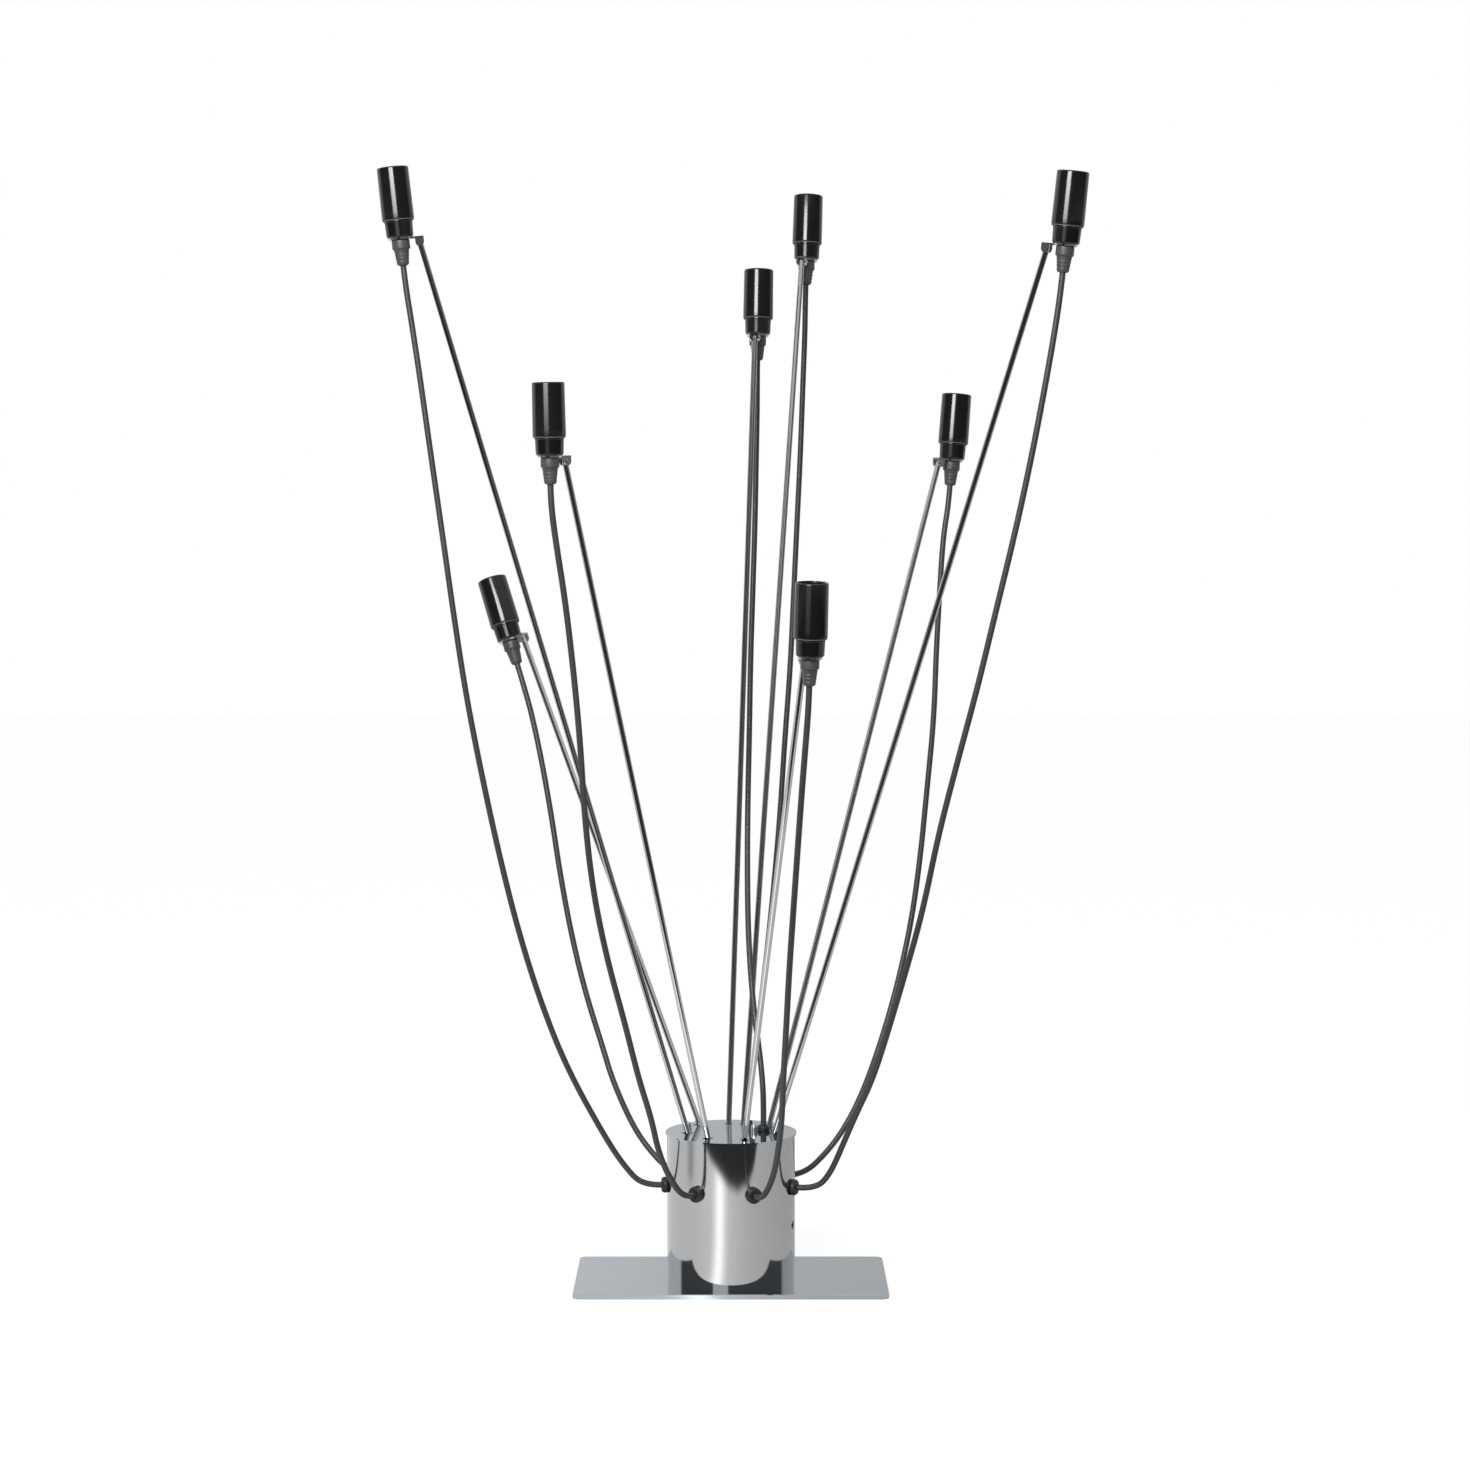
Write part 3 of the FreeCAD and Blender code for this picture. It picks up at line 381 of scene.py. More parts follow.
def model_insulator():
    """Insulating disc with the contact block on it."""
    rings = [(HUB, CAP_TOP), (10.6, CAP_TOP), (10.6, INSULATOR_TOP), (6.3, INSULATOR_TOP),
             (6.3, BLOCK_TOP), (HUB, BLOCK_TOP)]
    return turned_shape("insulator_pattern", rings, rounding=0.25)


def model_contact():
    """Round centre contact with a domed top."""
    rings = [(HUB, BLOCK_TOP), (2.5, BLOCK_TOP), (2.5, CONTACT_TOP - 0.8), (1.7, CONTACT_TOP - 0.15),
             (HUB, CONTACT_TOP)]
    return turned_shape("contact_pattern", rings, sides=32, rounding=0.15)


THREAD_PITCH = 2.82
THREAD_DEPTH = 0.25
THREAD_STEPS = 6
THREAD_FADE = 3
SLEEVE_RADIUS = 7.4
SLEEVE_WALL = 0.35
SLEEVE_SIDES = 44
SLEEVE_CREASE = 40


def model_sleeve():
    """Thin metal sleeve with a rolled round thread between two plain ends."""
    piece = first_ring("sleeve_pattern", SLEEVE_SIDES, SLEEVE_RADIUS, INSULATOR_TOP)
    length = SLEEVE_TOP - INSULATOR_TOP
    count = round(length / (THREAD_PITCH / THREAD_STEPS))
    for _ in range(count):
        extrude_up(length / count)
    bpy.ops.object.mode_set(mode="OBJECT")
    for vertex in piece.data.vertices:
        x, y, z = vertex.co / MM
        start = min(1, max(0, (z - CONTACT_TOP) / THREAD_FADE))
        end = min(1, max(0, (SLEEVE_TOP - 1 - z) / THREAD_FADE))
        wave = math.cos(2 * math.pi * z / THREAD_PITCH - math.atan2(y, x))
        stretch = 1 + start * end * THREAD_DEPTH * wave / SLEEVE_RADIUS
        vertex.co.x *= stretch
        vertex.co.y *= stretch
    wall = piece.modifiers.new("wall", "SOLIDIFY")
    wall.thickness = SLEEVE_WALL * MM
    wall.offset = 0
    bpy.ops.object.modifier_apply(modifier=wall.name)
    face_outwards(merge=False)
    smooth_up_to(SLEEVE_CREASE)
    return piece


GLAND_RADIUS = 4.8
GLAND_LENGTH = 13
GLAND_SPREAD = 1.5
GROOVE_SHARES = (0.3, 0.52, 0.74)
GROOVE_DEPTH = 0.2
GROOVE_HALF = 0.5


def model_relief():
    """Screwed collar with a tapering gland that has three shallow grooves."""
    rings = [(CORD_RADIUS, -RELIEF_END), (GLAND_RADIUS - 1, -RELIEF_END), (GLAND_RADIUS, -RELIEF_END + 1)]
    for share in GROOVE_SHARES:
        radius = GLAND_RADIUS + GLAND_SPREAD * share
        bottom = radius - GROOVE_DEPTH
        level = -RELIEF_END + GLAND_LENGTH * share
        rings += [(radius, level - GROOVE_HALF), (bottom, level - GROOVE_HALF / 2),
                  (bottom, level + GROOVE_HALF / 2), (radius, level + GROOVE_HALF)]
    rings += [(6.3, -9.5), (6.7, -9.5), (7.4, -8.8), (7.4, -2.2), (6.7, -1.5), (4.9, -1.5), (4.9, 5),
              (CORD_RADIUS, 5)]
    return turned_shape("relief_pattern", rings, sides=48, rounding=0.18)


holder_patterns = {
    "shell": (model_shell(), "holder_shell", "holder_plastic"),
    "cap": (model_cap(), "holder_base", "holder_plastic"),
    # The seam ring is a pale piece that paints a highlight line between the shell and the cap
    "seam": (model_seam_highlight(), "holder_base", "holder_plastic"),
    "insulator": (model_insulator(), "holder_base", "holder_plastic"),
    "contact": (model_contact(), "holder_base", "holder_plastic"),
    "sleeve": (model_sleeve(), "holder_base", "holder_plastic"),
    "relief": (model_relief(), "strain_relief", "relief_plastic"),
}
holder_pieces = {part: [] for part in holder_patterns}
for number in ARM_NUMBERS:
    for part, (pattern, node_name, slot_name) in holder_patterns.items():
        piece = placed_copy(pattern, holder_place(number), f"{part}_{number}")
        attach(piece, f"holder_{number}")
        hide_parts(f"{node_name}_{number}")
        holder_pieces[part].append(piece)
for pattern, _, _ in holder_patterns.values():
    discard(pattern)


def model_wall_bushing():
    """Round rubber bushing of the drum's wall, with a soft bead round the cord."""
    rings = [(CORD_RADIUS, -3.4), (6, -3.4), (6, -1.9), (4.5, -1.9), (4.5, 0), (6.3, 0), (6.75, 0.6),
             (6.75, 3), (5.6, 4.8), (4.2, BUSHING_LIP), (CORD_RADIUS, BUSHING_LIP)]
    return turned_shape("wall_bushing_pattern", rings, rounding=0.35)


def model_disc_bushing():
    """Narrower rubber bushing of the thin disc."""
    rings = [(CORD_RADIUS, -2.8), (4.8, -2.8), (4.8, -1.35), (3.7, -1.35), (3.7, 0), (5, 0), (5.3, 0.4),
             (5.3, 3), (4.6, 4.3), (3.8, DISC_BUSHING_LIP), (CORD_RADIUS, DISC_BUSHING_LIP)]
    return turned_shape("disc_bushing_pattern", rings, rounding=0.3)


bushing_patterns = {"wall": model_wall_bushing(), "disc": model_disc_bushing()}
bushings = []
for number in ARM_NUMBERS:
    pattern = bushing_patterns["disc" if number == DISC_CORD else "wall"]
    piece = placed_copy(pattern, bushing_place(number), f"bushing_{number}")
    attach(piece, "base")
    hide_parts("cord_bushings")
    bushings.append(piece)
for pattern in bushing_patterns.values():
    discard(pattern)


# Shared effects. Dust starts where its noise is above a level, grows with a gain, and depends on
# how far a face looks up by a share.
DUST_LEVEL = 0.58
DUST_GAIN = 8
DUST_UPWARD = 0.7


def new_group(name, inputs, outputs):
    """Node group with named sockets, and its input and output nodes."""
    group = bpy.data.node_groups.new(name, "ShaderNodeTree")
    for socket, value in inputs.items():
        entry = group.interface.new_socket(socket, in_out="INPUT", socket_type="NodeSocketFloat")
        entry.default_value = value
    for socket in outputs:
        group.interface.new_socket(socket, in_out="OUTPUT", socket_type="NodeSocketFloat")
    return group, group.nodes.new("NodeGroupInput"), group.nodes.new("NodeGroupOutput")


def add_math(tree, operation, first, second=None):
    """Math node whose inputs are sockets or plain numbers."""
    step = tree.nodes.new("ShaderNodeMath")
    step.operation = operation
    for slot, value in zip(step.inputs, (first, second)):
        if value is None:
            continue
        if isinstance(value, (int, float)):
            slot.default_value = value
        else:
            tree.links.new(value, slot)
    return step.outputs[0]


def add_noise(group, scale, detail, roughness=0.5):
    """Noise over the object's own coordinates, with its scale from a socket."""
    place = group.nodes.new("ShaderNodeTexCoord")
    noise = group.nodes.new("ShaderNodeTexNoise")
    noise.inputs["Detail"].default_value = detail
    noise.inputs["Roughness"].default_value = roughness
    group.links.new(place.outputs["Object"], noise.inputs["Vector"])
    group.links.new(scale, noise.inputs["Scale"])
    return noise.outputs["Fac"]


def build_smudges():
    """Soft cloudy patches, as of handling and polishing."""
    group, ins, outs = new_group("smudges", {"Scale": 20, "Contrast": 2}, ["Mask"])
    clouds = add_noise(group, ins.outputs["Scale"], detail=5, roughness=0.6)
    centred = add_math(group, "SUBTRACT", clouds, 0.5)
    spread = add_math(group, "MULTIPLY", centred, ins.outputs["Contrast"])
    mask = add_math(group, "ADD", spread, 0.5)
    mask.node.use_clamp = True
    group.links.new(mask, outs.inputs["Mask"])
    return group


def build_grain():
    """Fine even grain, as of a moulded or polished skin."""
    group, ins, outs = new_group("grain", {"Scale": 900}, ["Height"])
    speckle = add_noise(group, ins.outputs["Scale"], detail=2)
    group.links.new(speckle, outs.inputs["Height"])
    return group


def build_hairlines():
    """Fine lines, round the upright axis where Along is above Around and along the axis where not."""
    group, ins, outs = new_group("hairlines", {"Around": 30, "Along": 1500}, ["Mask"])
    place = group.nodes.new("ShaderNodeTexCoord")
    parts = group.nodes.new("ShaderNodeSeparateXYZ")
    group.links.new(place.outputs["Object"], parts.inputs[0])
    across = add_math(group, "MULTIPLY", parts.outputs["X"], ins.outputs["Around"])
    back = add_math(group, "MULTIPLY", parts.outputs["Y"], ins.outputs["Around"])
    up = add_math(group, "MULTIPLY", parts.outputs["Z"], ins.outputs["Along"])
    joined = group.nodes.new("ShaderNodeCombineXYZ")
    for slot, value in zip(joined.inputs, (across, back, up)):
        group.links.new(value, slot)
    lines = group.nodes.new("ShaderNodeTexNoise")
    lines.inputs["Scale"].default_value = 1
    lines.inputs["Detail"].default_value = 3
    group.links.new(joined.outputs[0], lines.inputs["Vector"])
    group.links.new(lines.outputs["Fac"], outs.inputs["Mask"])
    return group


def build_dust():
    """Scattered specks, more of them on faces that look up."""
    group, ins, outs = new_group("dust", {"Scale": 700, "Amount": 0.3}, ["Mask"])
    specks = add_noise(group, ins.outputs["Scale"], detail=6, roughness=0.8)
    high = add_math(group, "SUBTRACT", specks, DUST_LEVEL)
    strong = add_math(group, "MULTIPLY", high, DUST_GAIN)
    strong.node.use_clamp = True
    facing = group.nodes.new("ShaderNodeSeparateXYZ")
    shape = group.nodes.new("ShaderNodeNewGeometry")
    group.links.new(shape.outputs["Normal"], facing.inputs[0])
    upward = add_math(group, "MULTIPLY", facing.outputs["Z"], DUST_UPWARD)
    lifted = add_math(group, "ADD", upward, 1 - DUST_UPWARD)
    lifted.node.use_clamp = True
    share = add_math(group, "MULTIPLY", strong, lifted)
    mask = add_math(group, "MULTIPLY", share, ins.outputs["Amount"])
    group.links.new(mask, outs.inputs["Mask"])
    return group


EFFECTS = {
    "smudges": build_smudges(),
    "grain": build_grain(),
    "hairlines": build_hairlines(),
    "dust": build_dust(),
}


class Finish:
    """Material with one Principled shader, and helpers that add the shared effects to it."""

    def __init__(self, name, **sockets):
        self.material = bpy.data.materials.new(name)
        self.material.use_nodes = True
        self.tree = self.material.node_tree
        self.shader = self.tree.nodes["Principled BSDF"]
        for socket, value in sockets.items():
            self.shader.inputs[socket.replace("_", " ")].default_value = value

    def effect(self, name, output, **values):
        """Output socket of a shared effect with its own values."""
        step = self.tree.nodes.new("ShaderNodeGroup")
        step.node_tree = EFFECTS[name]
        for socket, value in values.items():
            step.inputs[socket].default_value = value
        return step.outputs[output]

    def spread(self, mask, low, high):
        """Mask stretched to a range of values."""
        step = self.tree.nodes.new("ShaderNodeMapRange")
        step.inputs["To Min"].default_value = low
        step.inputs["To Max"].default_value = high
        self.tree.links.new(mask, step.inputs["Value"])
        return step.outputs["Result"]

    def colours(self, mask, first, second):
        """Colour between two others, by a mask."""
        step = self.tree.nodes.new("ShaderNodeMix")
        step.data_type = "RGBA"
        self.tree.links.new(mask, step.inputs["Factor"])
        for slot, value in ((6, first), (7, second)):
            step.inputs[slot].default_value = (*value, 1)
        return step.outputs[2]

    def feed(self, socket, value):
        """Link a value to a socket of the shader."""
        self.tree.links.new(value, self.shader.inputs[socket])

    def bump(self, height, depth):
        """Bump of a depth in metres from a height that changes over the surface."""
        step = self.tree.nodes.new("ShaderNodeBump")
        step.inputs["Distance"].default_value = depth
        step.inputs["Strength"].default_value = 1
        self.tree.links.new(height, step.inputs["Height"])
        self.feed("Normal", step.outputs["Normal"])


# Depths of the fine relief of the surfaces, in metres, and the scale of the plastics' grain
BRUSHED_DEPTH = 0.00002
SHELL_DEPTH = 0.000003
SKIN_DEPTH = 0.00004
SKIN_SCALE = 1400


def finish_sheet_chrome():
    """Mirror chrome of the plate and disc, slightly bluish and faintly smudged."""
    finish = Finish("sheet_chrome", Metallic=1.0)
    clouds = finish.effect("smudges", "Mask", Scale=28, Contrast=2.2)
    finish.feed("Base Color", finish.colours(clouds, (0.459, 0.508, 0.553), (0.485, 0.534, 0.58)))
    finish.feed("Roughness", finish.spread(clouds, 0.03, 0.075))
    return finish.material


def finish_drum_chrome():
    """Chrome of the drum over finely turned metal, which draws lights out upright."""
    finish = Finish("drum_chrome", Metallic=1.0, Anisotropic=0.75)
    clouds = finish.effect("smudges", "Mask", Scale=22, Contrast=1.8)
    lines = finish.effect("hairlines", "Mask", Around=14, Along=2600)
    both = finish.spread(add_math(finish.tree, "MULTIPLY", clouds, lines), 0.06, 0.13)
    finish.feed("Base Color", finish.colours(clouds, (0.475, 0.482, 0.49), (0.51, 0.515, 0.52)))
    finish.feed("Roughness", both)
    tangent = finish.tree.nodes.new("ShaderNodeTangent")
    tangent.direction_type = "RADIAL"
    tangent.axis = "Z"
    finish.feed("Tangent", tangent.outputs["Tangent"])
    return finish.material


def finish_rod_chrome():
    """Bright chrome of the rods, with faint marks round them."""
    finish = Finish("rod_chrome", Metallic=1.0)
    clouds = finish.effect("smudges", "Mask", Scale=60, Contrast=2)
    finish.feed("Base Color", finish.colours(clouds, (0.56, 0.565, 0.58), (0.62, 0.62, 0.635)))
    finish.feed("Roughness", finish.spread(clouds, 0.05, 0.13))
    return finish.material


def finish_steel(name, low, high):
    """Plain plated metal, satin with short brushed lines."""
    finish = Finish(name, Metallic=1.0)
    lines = finish.effect("hairlines", "Mask", Around=500, Along=60)
    finish.feed("Base Color", finish.colours(lines, low, high))
    finish.feed("Roughness", finish.spread(lines, 0.18, 0.38))
    finish.bump(lines, BRUSHED_DEPTH)
    return finish.material


def finish_black_shell():
    """Glossy black moulded plastic with a faint orange-peel skin and a little dust."""
    finish = Finish("black_shell", IOR=1.5)
    specks = finish.effect("dust", "Mask", Scale=900, Amount=0.25)
    clouds = finish.effect("smudges", "Mask", Scale=90, Contrast=2)
    finish.feed("Base Color", finish.colours(specks, (0.006, 0.006, 0.007), (0.08, 0.08, 0.08)))
    finish.feed("Roughness", finish.spread(clouds, 0.11, 0.17))
    finish.bump(finish.effect("grain", "Height", Scale=420), SHELL_DEPTH)
    return finish.material


def finish_soft(name, colour, raised, roughness, scale, skin=SKIN_DEPTH):
    """Satin or matt plastic and rubber, mottled and finely grained."""
    finish = Finish(name, IOR=1.48)
    clouds = finish.effect("smudges", "Mask", Scale=scale, Contrast=2)
    finish.feed("Base Color", finish.colours(clouds, colour, raised))
    finish.feed("Roughness", finish.spread(clouds, roughness - 0.06, roughness + 0.08))
    finish.bump(finish.effect("grain", "Height", Scale=SKIN_SCALE), skin)
    return finish.material


# Two shades of each plated metal
STEELS = {
    "strap_steel": ((0.60, 0.60, 0.61), (0.76, 0.76, 0.77)),
    "inner_steel": ((0.36, 0.36, 0.37), (0.48, 0.48, 0.49)),
    "sleeve_nickel": ((0.55, 0.53, 0.49), (0.68, 0.66, 0.62)),
    "contact_brass": ((0.55, 0.40, 0.18), (0.68, 0.50, 0.24)),
}

# Two shades of each plastic or rubber, its roughness, the scale of its mottling and, where it is
# smoother than the others, the depth of its grain
SOFT_SKINS = {
    # Pale grey of the seam ring is a painted highlight along the seam
    "seam_highlight_grey": ((0.10, 0.10, 0.105), (0.13, 0.13, 0.135), 0.45, 260, 0.00001),
    "relief_grey": ((0.056, 0.056, 0.059), (0.066, 0.066, 0.069), 0.42, 160, 0.00001),
    "cord_grey": ((0.038, 0.038, 0.040), (0.044, 0.044, 0.046), 0.40, 60, 0.000006),
    "bushing_black": ((0.010, 0.010, 0.011), (0.018, 0.018, 0.019), 0.45, 240),
    "screw_black": ((0.012, 0.012, 0.013), (0.02, 0.02, 0.021), 0.35, 300),
    "insulator_pale": ((0.55, 0.53, 0.48), (0.62, 0.60, 0.55), 0.5, 200),
}

FINISHES = {
    "sheet_chrome": finish_sheet_chrome(),
    "drum_chrome": finish_drum_chrome(),
    "rod_chrome": finish_rod_chrome(),
    "black_shell": finish_black_shell(),
}
FINISHES.update({name: finish_steel(name, *shades) for name, shades in STEELS.items()})
FINISHES.update({name: finish_soft(name, *look) for name, look in SOFT_SKINS.items()})

HOLDER_FINISHES = {
    "shell": "black_shell", "cap": "black_shell", "seam": "seam_highlight_grey", "insulator": "insulator_pale",
    "contact": "contact_brass", "sleeve": "sleeve_nickel", "relief": "relief_grey",
}
CAD_FINISHES = {
    "base_plate": "sheet_chrome", "top_disc": "sheet_chrome", "drum": "drum_chrome",
    "drum_screws": "screw_black", "disc_nuts": "strap_steel", "carrier_plate": "inner_steel",
    "pivot_forks": "inner_steel", "pivot_pins": "inner_steel", "inlet_grommet": "bushing_black",
    "terminal_block": "insulator_pale", "inner_leads": "cord_grey",
}
for number in ARM_NUMBERS:
    CAD_FINISHES[f"rod_{number}"] = "rod_chrome"
    CAD_FINISHES[f"bracket_{number}"] = "strap_steel"


def dress(piece, finish):
    """Give a piece one finish all over."""
    piece.data.materials.clear()
    piece.data.materials.append(FINISHES[finish])


for piece in cords:
    dress(piece, "cord_grey")
for part, finish in HOLDER_FINISHES.items():
    for piece in holder_pieces[part]:
        dress(piece, finish)
for piece in bushings:
    dress(piece, "bushing_black")
for node_name, finish in CAD_FINISHES.items():
    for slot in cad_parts[node_name].material_slots:
        slot.link = "OBJECT"
        slot.material = FINISHES[finish]


# Studio: a white table whose front edge meets a dark room, a white backdrop, and a tall soft light.
# Azimuths are as above, places and distances in metres. What shiny faces see is set apart from
# what the camera sees, which is white all round.
LIGHT_AZIMUTH = -18.5
LIGHT_DISTANCE = 1.78
LIGHT_HEIGHT = 0.95
LIGHT_SIZE = (0.84, 1.6)

# Strength of the soft light by height
LIGHT_POWER = [(0.1, 0.25), (0.19, 0.4), (0.68, 1.6), (1.0, 10), (1.25, 20), (1.8, 20)]

FLOOR_SIZE = (12, 12)
FLOOR_CENTRE = (0, 2, 0)

# Brightness of the table in mirrors: a level that falls from left to right by so much a degree,
# a wide and a narrow glow that are a painted reflection of the soft light on the table (width, height),
# and a spot of painted shade at the left
TABLE_LEVEL = 0.50
TABLE_SLOPE = -0.0012
WIDE_PAINTED_REFLECTION = (32, 0.22)
NARROW_PAINTED_REFLECTION = (8.5, 1.0)
# Painted shade: the dark spot's azimuth, its width and depth, and the distances over which it sets in
PAINTED_SHADE_AZIMUTH = -74
PAINTED_SHADE_SPOT = (7, 0.4)
PAINTED_SHADE_FROM, PAINTED_SHADE_TO = 0.44, 0.56
EDGE_SOFTNESS = 0.03

# Brightness of the table to the camera, its own shade and the matt light of the surroundings
TABLE_SEEN = 0.83
TABLE_SHADE = 0.28
MATT_LIGHT = 0.55

# Distance of the table's edge from the lamp's axis, by azimuth
TABLE_EDGE = [(-180, 2.5), (-75, 2.5), (-60, 1.0), (-45.5, 0.69), (-34, 0.62), (-18.5, 0.55), (-3, 0.495),
              (12, 0.475), (29, 0.51), (36, 0.55), (41, 0.6), (46, 0.7), (60, 1.2), (80, 2.5), (180, 2.5)]

# Brightness of the room in mirrors, by azimuth: white at the back, dark behind the camera
ROOM = [(-180, 0.6), (-178, 0.72), (-176, 0.76), (-170, 0.8), (-150, 0.85), (-110, 0.95), (-104, 0.92),
        (-99, 0.05), (-60, 0.035), (0, 0.045), (60, 0.04), (102, 0.045), (107, 0.6), (115, 0.68),
        (150, 0.68), (170, 0.64), (176, 0.58), (178, 0.58), (180, 0.6)]

# Least brightness of the room in mirrors, by the height of a direction: a pale strip at the
# horizon, a dim wall and a bright ceiling
HEIGHTS = [(-1, 0), (-0.12, 0), (-0.08, 0.3), (-0.03, 0.35), (0.02, 0.1), (0.3, 0.1), (0.352, 0.16),
           (0.402, 0.5), (0.48, 0.65), (1, 0.85)]


def bearing(tree, place):
    """Azimuth of a place or direction in degrees, from the front towards the right."""
    parts = tree.nodes.new("ShaderNodeSeparateXYZ")
    tree.links.new(place, parts.inputs[0])
    ahead = add_math(tree, "MULTIPLY", parts.outputs["Y"], -1)
    turn = add_math(tree, "ARCTAN2", parts.outputs["X"], ahead)
    return add_math(tree, "DEGREES", turn)


def swell(tree, value, centre, hump):
    """Smooth hump round a centre value. A hump is its width and height."""
    width, height = hump
    offset = add_math(tree, "SUBTRACT", value, centre)
    share = add_math(tree, "DIVIDE", offset, width)
    square = add_math(tree, "MULTIPLY", share, share)
    fall = add_math(tree, "MULTIPLY", square, -1)
    bell = add_math(tree, "EXPONENT", fall)
    return add_math(tree, "MULTIPLY", bell, height)


def ramp(tree, value, stops):
    """Brightness that follows a value through stops of value and brightness."""
    low, high = stops[0][0], stops[-1][0]
    share = tree.nodes.new("ShaderNodeMapRange")
    share.inputs["From Min"].default_value = low
    share.inputs["From Max"].default_value = high
    tree.links.new(value, share.inputs["Value"])
    curve = tree.nodes.new("ShaderNodeFloatCurve")
    line = curve.mapping.curves[0]
    top = max(bright for _, bright in stops)
    spots = [((where - low) / (high - low), bright / top) for where, bright in stops]
    line.points[0].location = spots[0]
    line.points[-1].location = spots[-1]
    for spot in spots[1:-1]:
        line.points.new(*spot)
    for point in line.points:
        point.handle_type = "VECTOR"
    curve.mapping.update()
    tree.links.new(share.outputs["Result"], curve.inputs["Value"])
    return add_math(tree, "MULTIPLY", curve.outputs["Value"], top)


def fade(tree, value, start, end):
    """Smooth fall from one to nothing while a value grows from start to end."""
    step = tree.nodes.new("ShaderNodeMapRange")
    step.interpolation_type = "SMOOTHSTEP"
    for socket, setting in (("From Min", start), ("From Max", end), ("To Min", 1), ("To Max", 0)):
        step.inputs[socket].default_value = setting
    tree.links.new(value, step.inputs["Value"])
    return step.outputs["Result"]


def reach(tree, place):
    """Distance of a place on the table from the lamp's axis, in metres."""
    step = tree.nodes.new("ShaderNodeVectorMath")
    step.operation = "LENGTH"
    tree.links.new(place, step.inputs[0])
    return step.outputs["Value"]


def sum_of(tree, *values):
    """Sum of sockets or plain numbers."""
    total = values[0]
    for value in values[1:]:
        total = add_math(tree, "ADD", total, value)
    return total


def height_of(tree, place):
    """Height of a place or direction."""
    parts = tree.nodes.new("ShaderNodeSeparateXYZ")
    tree.links.new(place, parts.inputs[0])
    return parts.outputs["Z"]


def stage_plane(name, size, place, turn=(0, 0, 0)):
    """Flat stage piece with its place in its mesh."""
    clear_selection()
    bpy.ops.mesh.primitive_plane_add(size=1, location=place, rotation=turn)
    piece = bpy.context.object
    piece.name = name
    piece.scale = (*size, 1)
    bpy.ops.object.transform_apply(location=True, rotation=True, scale=True)
    return piece


def table_brightness(tree, azimuth, distance):
    """Brightness of the table in mirrors, with a painted reflection of the soft light and a spot of
    painted shade, before it ends at its edge.
    """
    slope = add_math(tree, "MULTIPLY", azimuth, TABLE_SLOPE)
    # Both glows are a painted reflection of the soft light on the table
    level = sum_of(tree, slope, TABLE_LEVEL, swell(tree, azimuth, LIGHT_AZIMUTH, WIDE_PAINTED_REFLECTION),
                   swell(tree, azimuth, LIGHT_AZIMUTH, NARROW_PAINTED_REFLECTION))
    # Painted shade in the spot at the left, from its start distance outwards
    far = add_math(tree, "SUBTRACT", 1, fade(tree, distance, PAINTED_SHADE_FROM, PAINTED_SHADE_TO))
    dim = add_math(tree, "MULTIPLY", far, swell(tree, azimuth, PAINTED_SHADE_AZIMUTH, PAINTED_SHADE_SPOT))
    return add_math(tree, "SUBTRACT", level, dim)


def table_finish():
    """White to the camera, and in mirrors a lit table, with a painted reflection of the soft light and a
    spot of painted shade, that ends where the room begins.
    """
    material = bpy.data.materials.new("table_white")
    material.use_nodes = True
    tree = material.node_tree
    shader = tree.nodes["Principled BSDF"]
    place = tree.nodes.new("ShaderNodeTexCoord").outputs["Object"]
    azimuth = bearing(tree, place)
    distance = reach(tree, place)
    past_edge = add_math(tree, "SUBTRACT", distance, ramp(tree, azimuth, TABLE_EDGE))
    on_table = fade(tree, past_edge, -EDGE_SOFTNESS, EDGE_SOFTNESS)
    off_table = add_math(tree, "SUBTRACT", 1, on_table)
    near = add_math(tree, "MULTIPLY", table_brightness(tree, azimuth, distance), on_table)
    beyond = add_math(tree, "MULTIPLY", ramp(tree, azimuth, ROOM), off_table)
    rays = tree.nodes.new("ShaderNodeLightPath").outputs
    seen = add_math(tree, "MULTIPLY", rays["Is Camera Ray"], TABLE_SEEN)
    bent = add_math(tree, "MAXIMUM", rays["Is Glossy Ray"], rays["Is Transmission Ray"])
    mirrored = add_math(tree, "MULTIPLY", bent, add_math(tree, "ADD", near, beyond))
    in_room = add_math(tree, "MULTIPLY", rays["Is Glossy Ray"], off_table)
    shade = add_math(tree, "MULTIPLY", add_math(tree, "SUBTRACT", 1, in_room), TABLE_SHADE)
    tree.links.new(shade, shader.inputs["Base Color"])
    shader.inputs["Roughness"].default_value = 0.8
    shader.inputs["Specular IOR Level"].default_value = 0
    shader.inputs["Emission Color"].default_value = (1, 1, 1, 1)
    tree.links.new(add_math(tree, "ADD", seen, mirrored), shader.inputs["Emission Strength"])
    return material


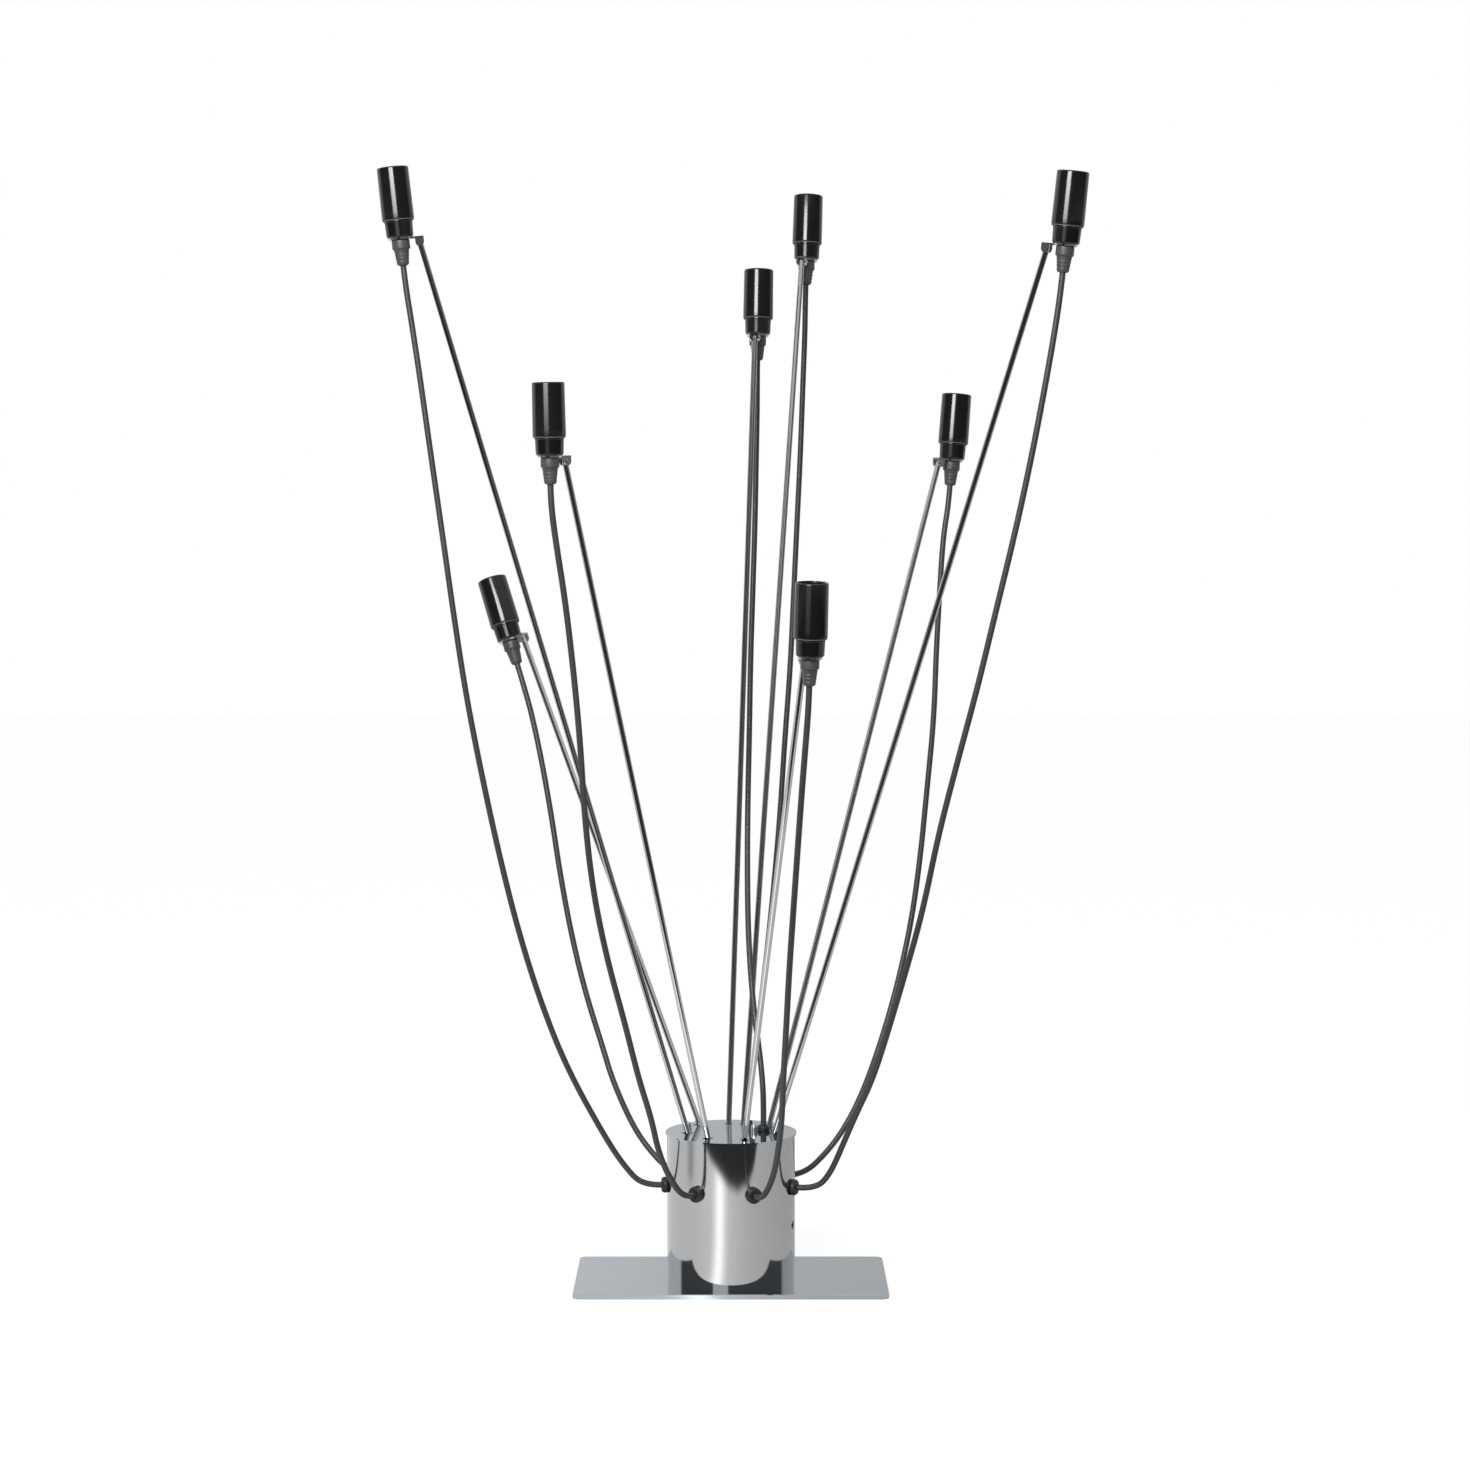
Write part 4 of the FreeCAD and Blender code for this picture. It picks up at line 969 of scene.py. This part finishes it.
def softbox_finish():
    """Plain glow that grows with the height."""
    material = bpy.data.materials.new("softbox_glow")
    material.use_nodes = True
    tree = material.node_tree
    tree.nodes.remove(tree.nodes["Principled BSDF"])
    place = tree.nodes.new("ShaderNodeTexCoord").outputs["Object"]
    glow = tree.nodes.new("ShaderNodeEmission")
    tree.links.new(ramp(tree, height_of(tree, place), LIGHT_POWER), glow.inputs["Strength"])
    tree.links.new(glow.outputs[0], tree.nodes["Material Output"].inputs["Surface"])
    return material


def studio_world():
    """Surroundings that are white to the camera and a room in mirrors."""
    world = bpy.data.worlds.new("studio")
    world.use_nodes = True
    tree = world.node_tree
    background = tree.nodes["Background"]
    place = tree.nodes.new("ShaderNodeTexCoord").outputs["Generated"]
    room = add_math(tree, "MAXIMUM", ramp(tree, bearing(tree, place), ROOM),
                    ramp(tree, height_of(tree, place), HEIGHTS))
    rays = tree.nodes.new("ShaderNodeLightPath").outputs
    mirrored = add_math(tree, "MULTIPLY", rays["Is Glossy Ray"], room)
    matt = add_math(tree, "MULTIPLY", rays["Is Diffuse Ray"], MATT_LIGHT)
    clear = add_math(tree, "MAXIMUM", rays["Is Camera Ray"], rays["Is Transmission Ray"])
    strength = add_math(tree, "MAXIMUM", add_math(tree, "MAXIMUM", mirrored, matt), clear)
    tree.links.new(strength, background.inputs["Strength"])
    background.inputs["Color"].default_value = (1, 1, 1, 1)
    return world


floor = stage_plane("floor", FLOOR_SIZE, FLOOR_CENTRE)
floor.data.materials.append(table_finish())

light_turn = math.radians(LIGHT_AZIMUTH)
light_place = outward(LIGHT_AZIMUTH) * LIGHT_DISTANCE + Vector((0, 0, LIGHT_HEIGHT))
softbox = stage_plane("softbox", LIGHT_SIZE, light_place, (math.radians(90), 0, light_turn))
softbox.visible_camera = False
softbox.data.materials.append(softbox_finish())

# The thin rods and brackets show no bright line, so the soft light leaves them out
shaded = bpy.data.collections.new("shaded_metal")
for number in ARM_NUMBERS:
    shaded.objects.link(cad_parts[f"rod_{number}"])
    shaded.objects.link(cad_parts[f"bracket_{number}"])
for member in shaded.collection_objects:
    member.light_linking.link_state = "EXCLUDE"
softbox.light_linking.receiver_collection = shaded

bpy.context.scene.world = studio_world()
bpy.context.scene.view_settings.view_transform = "Standard"
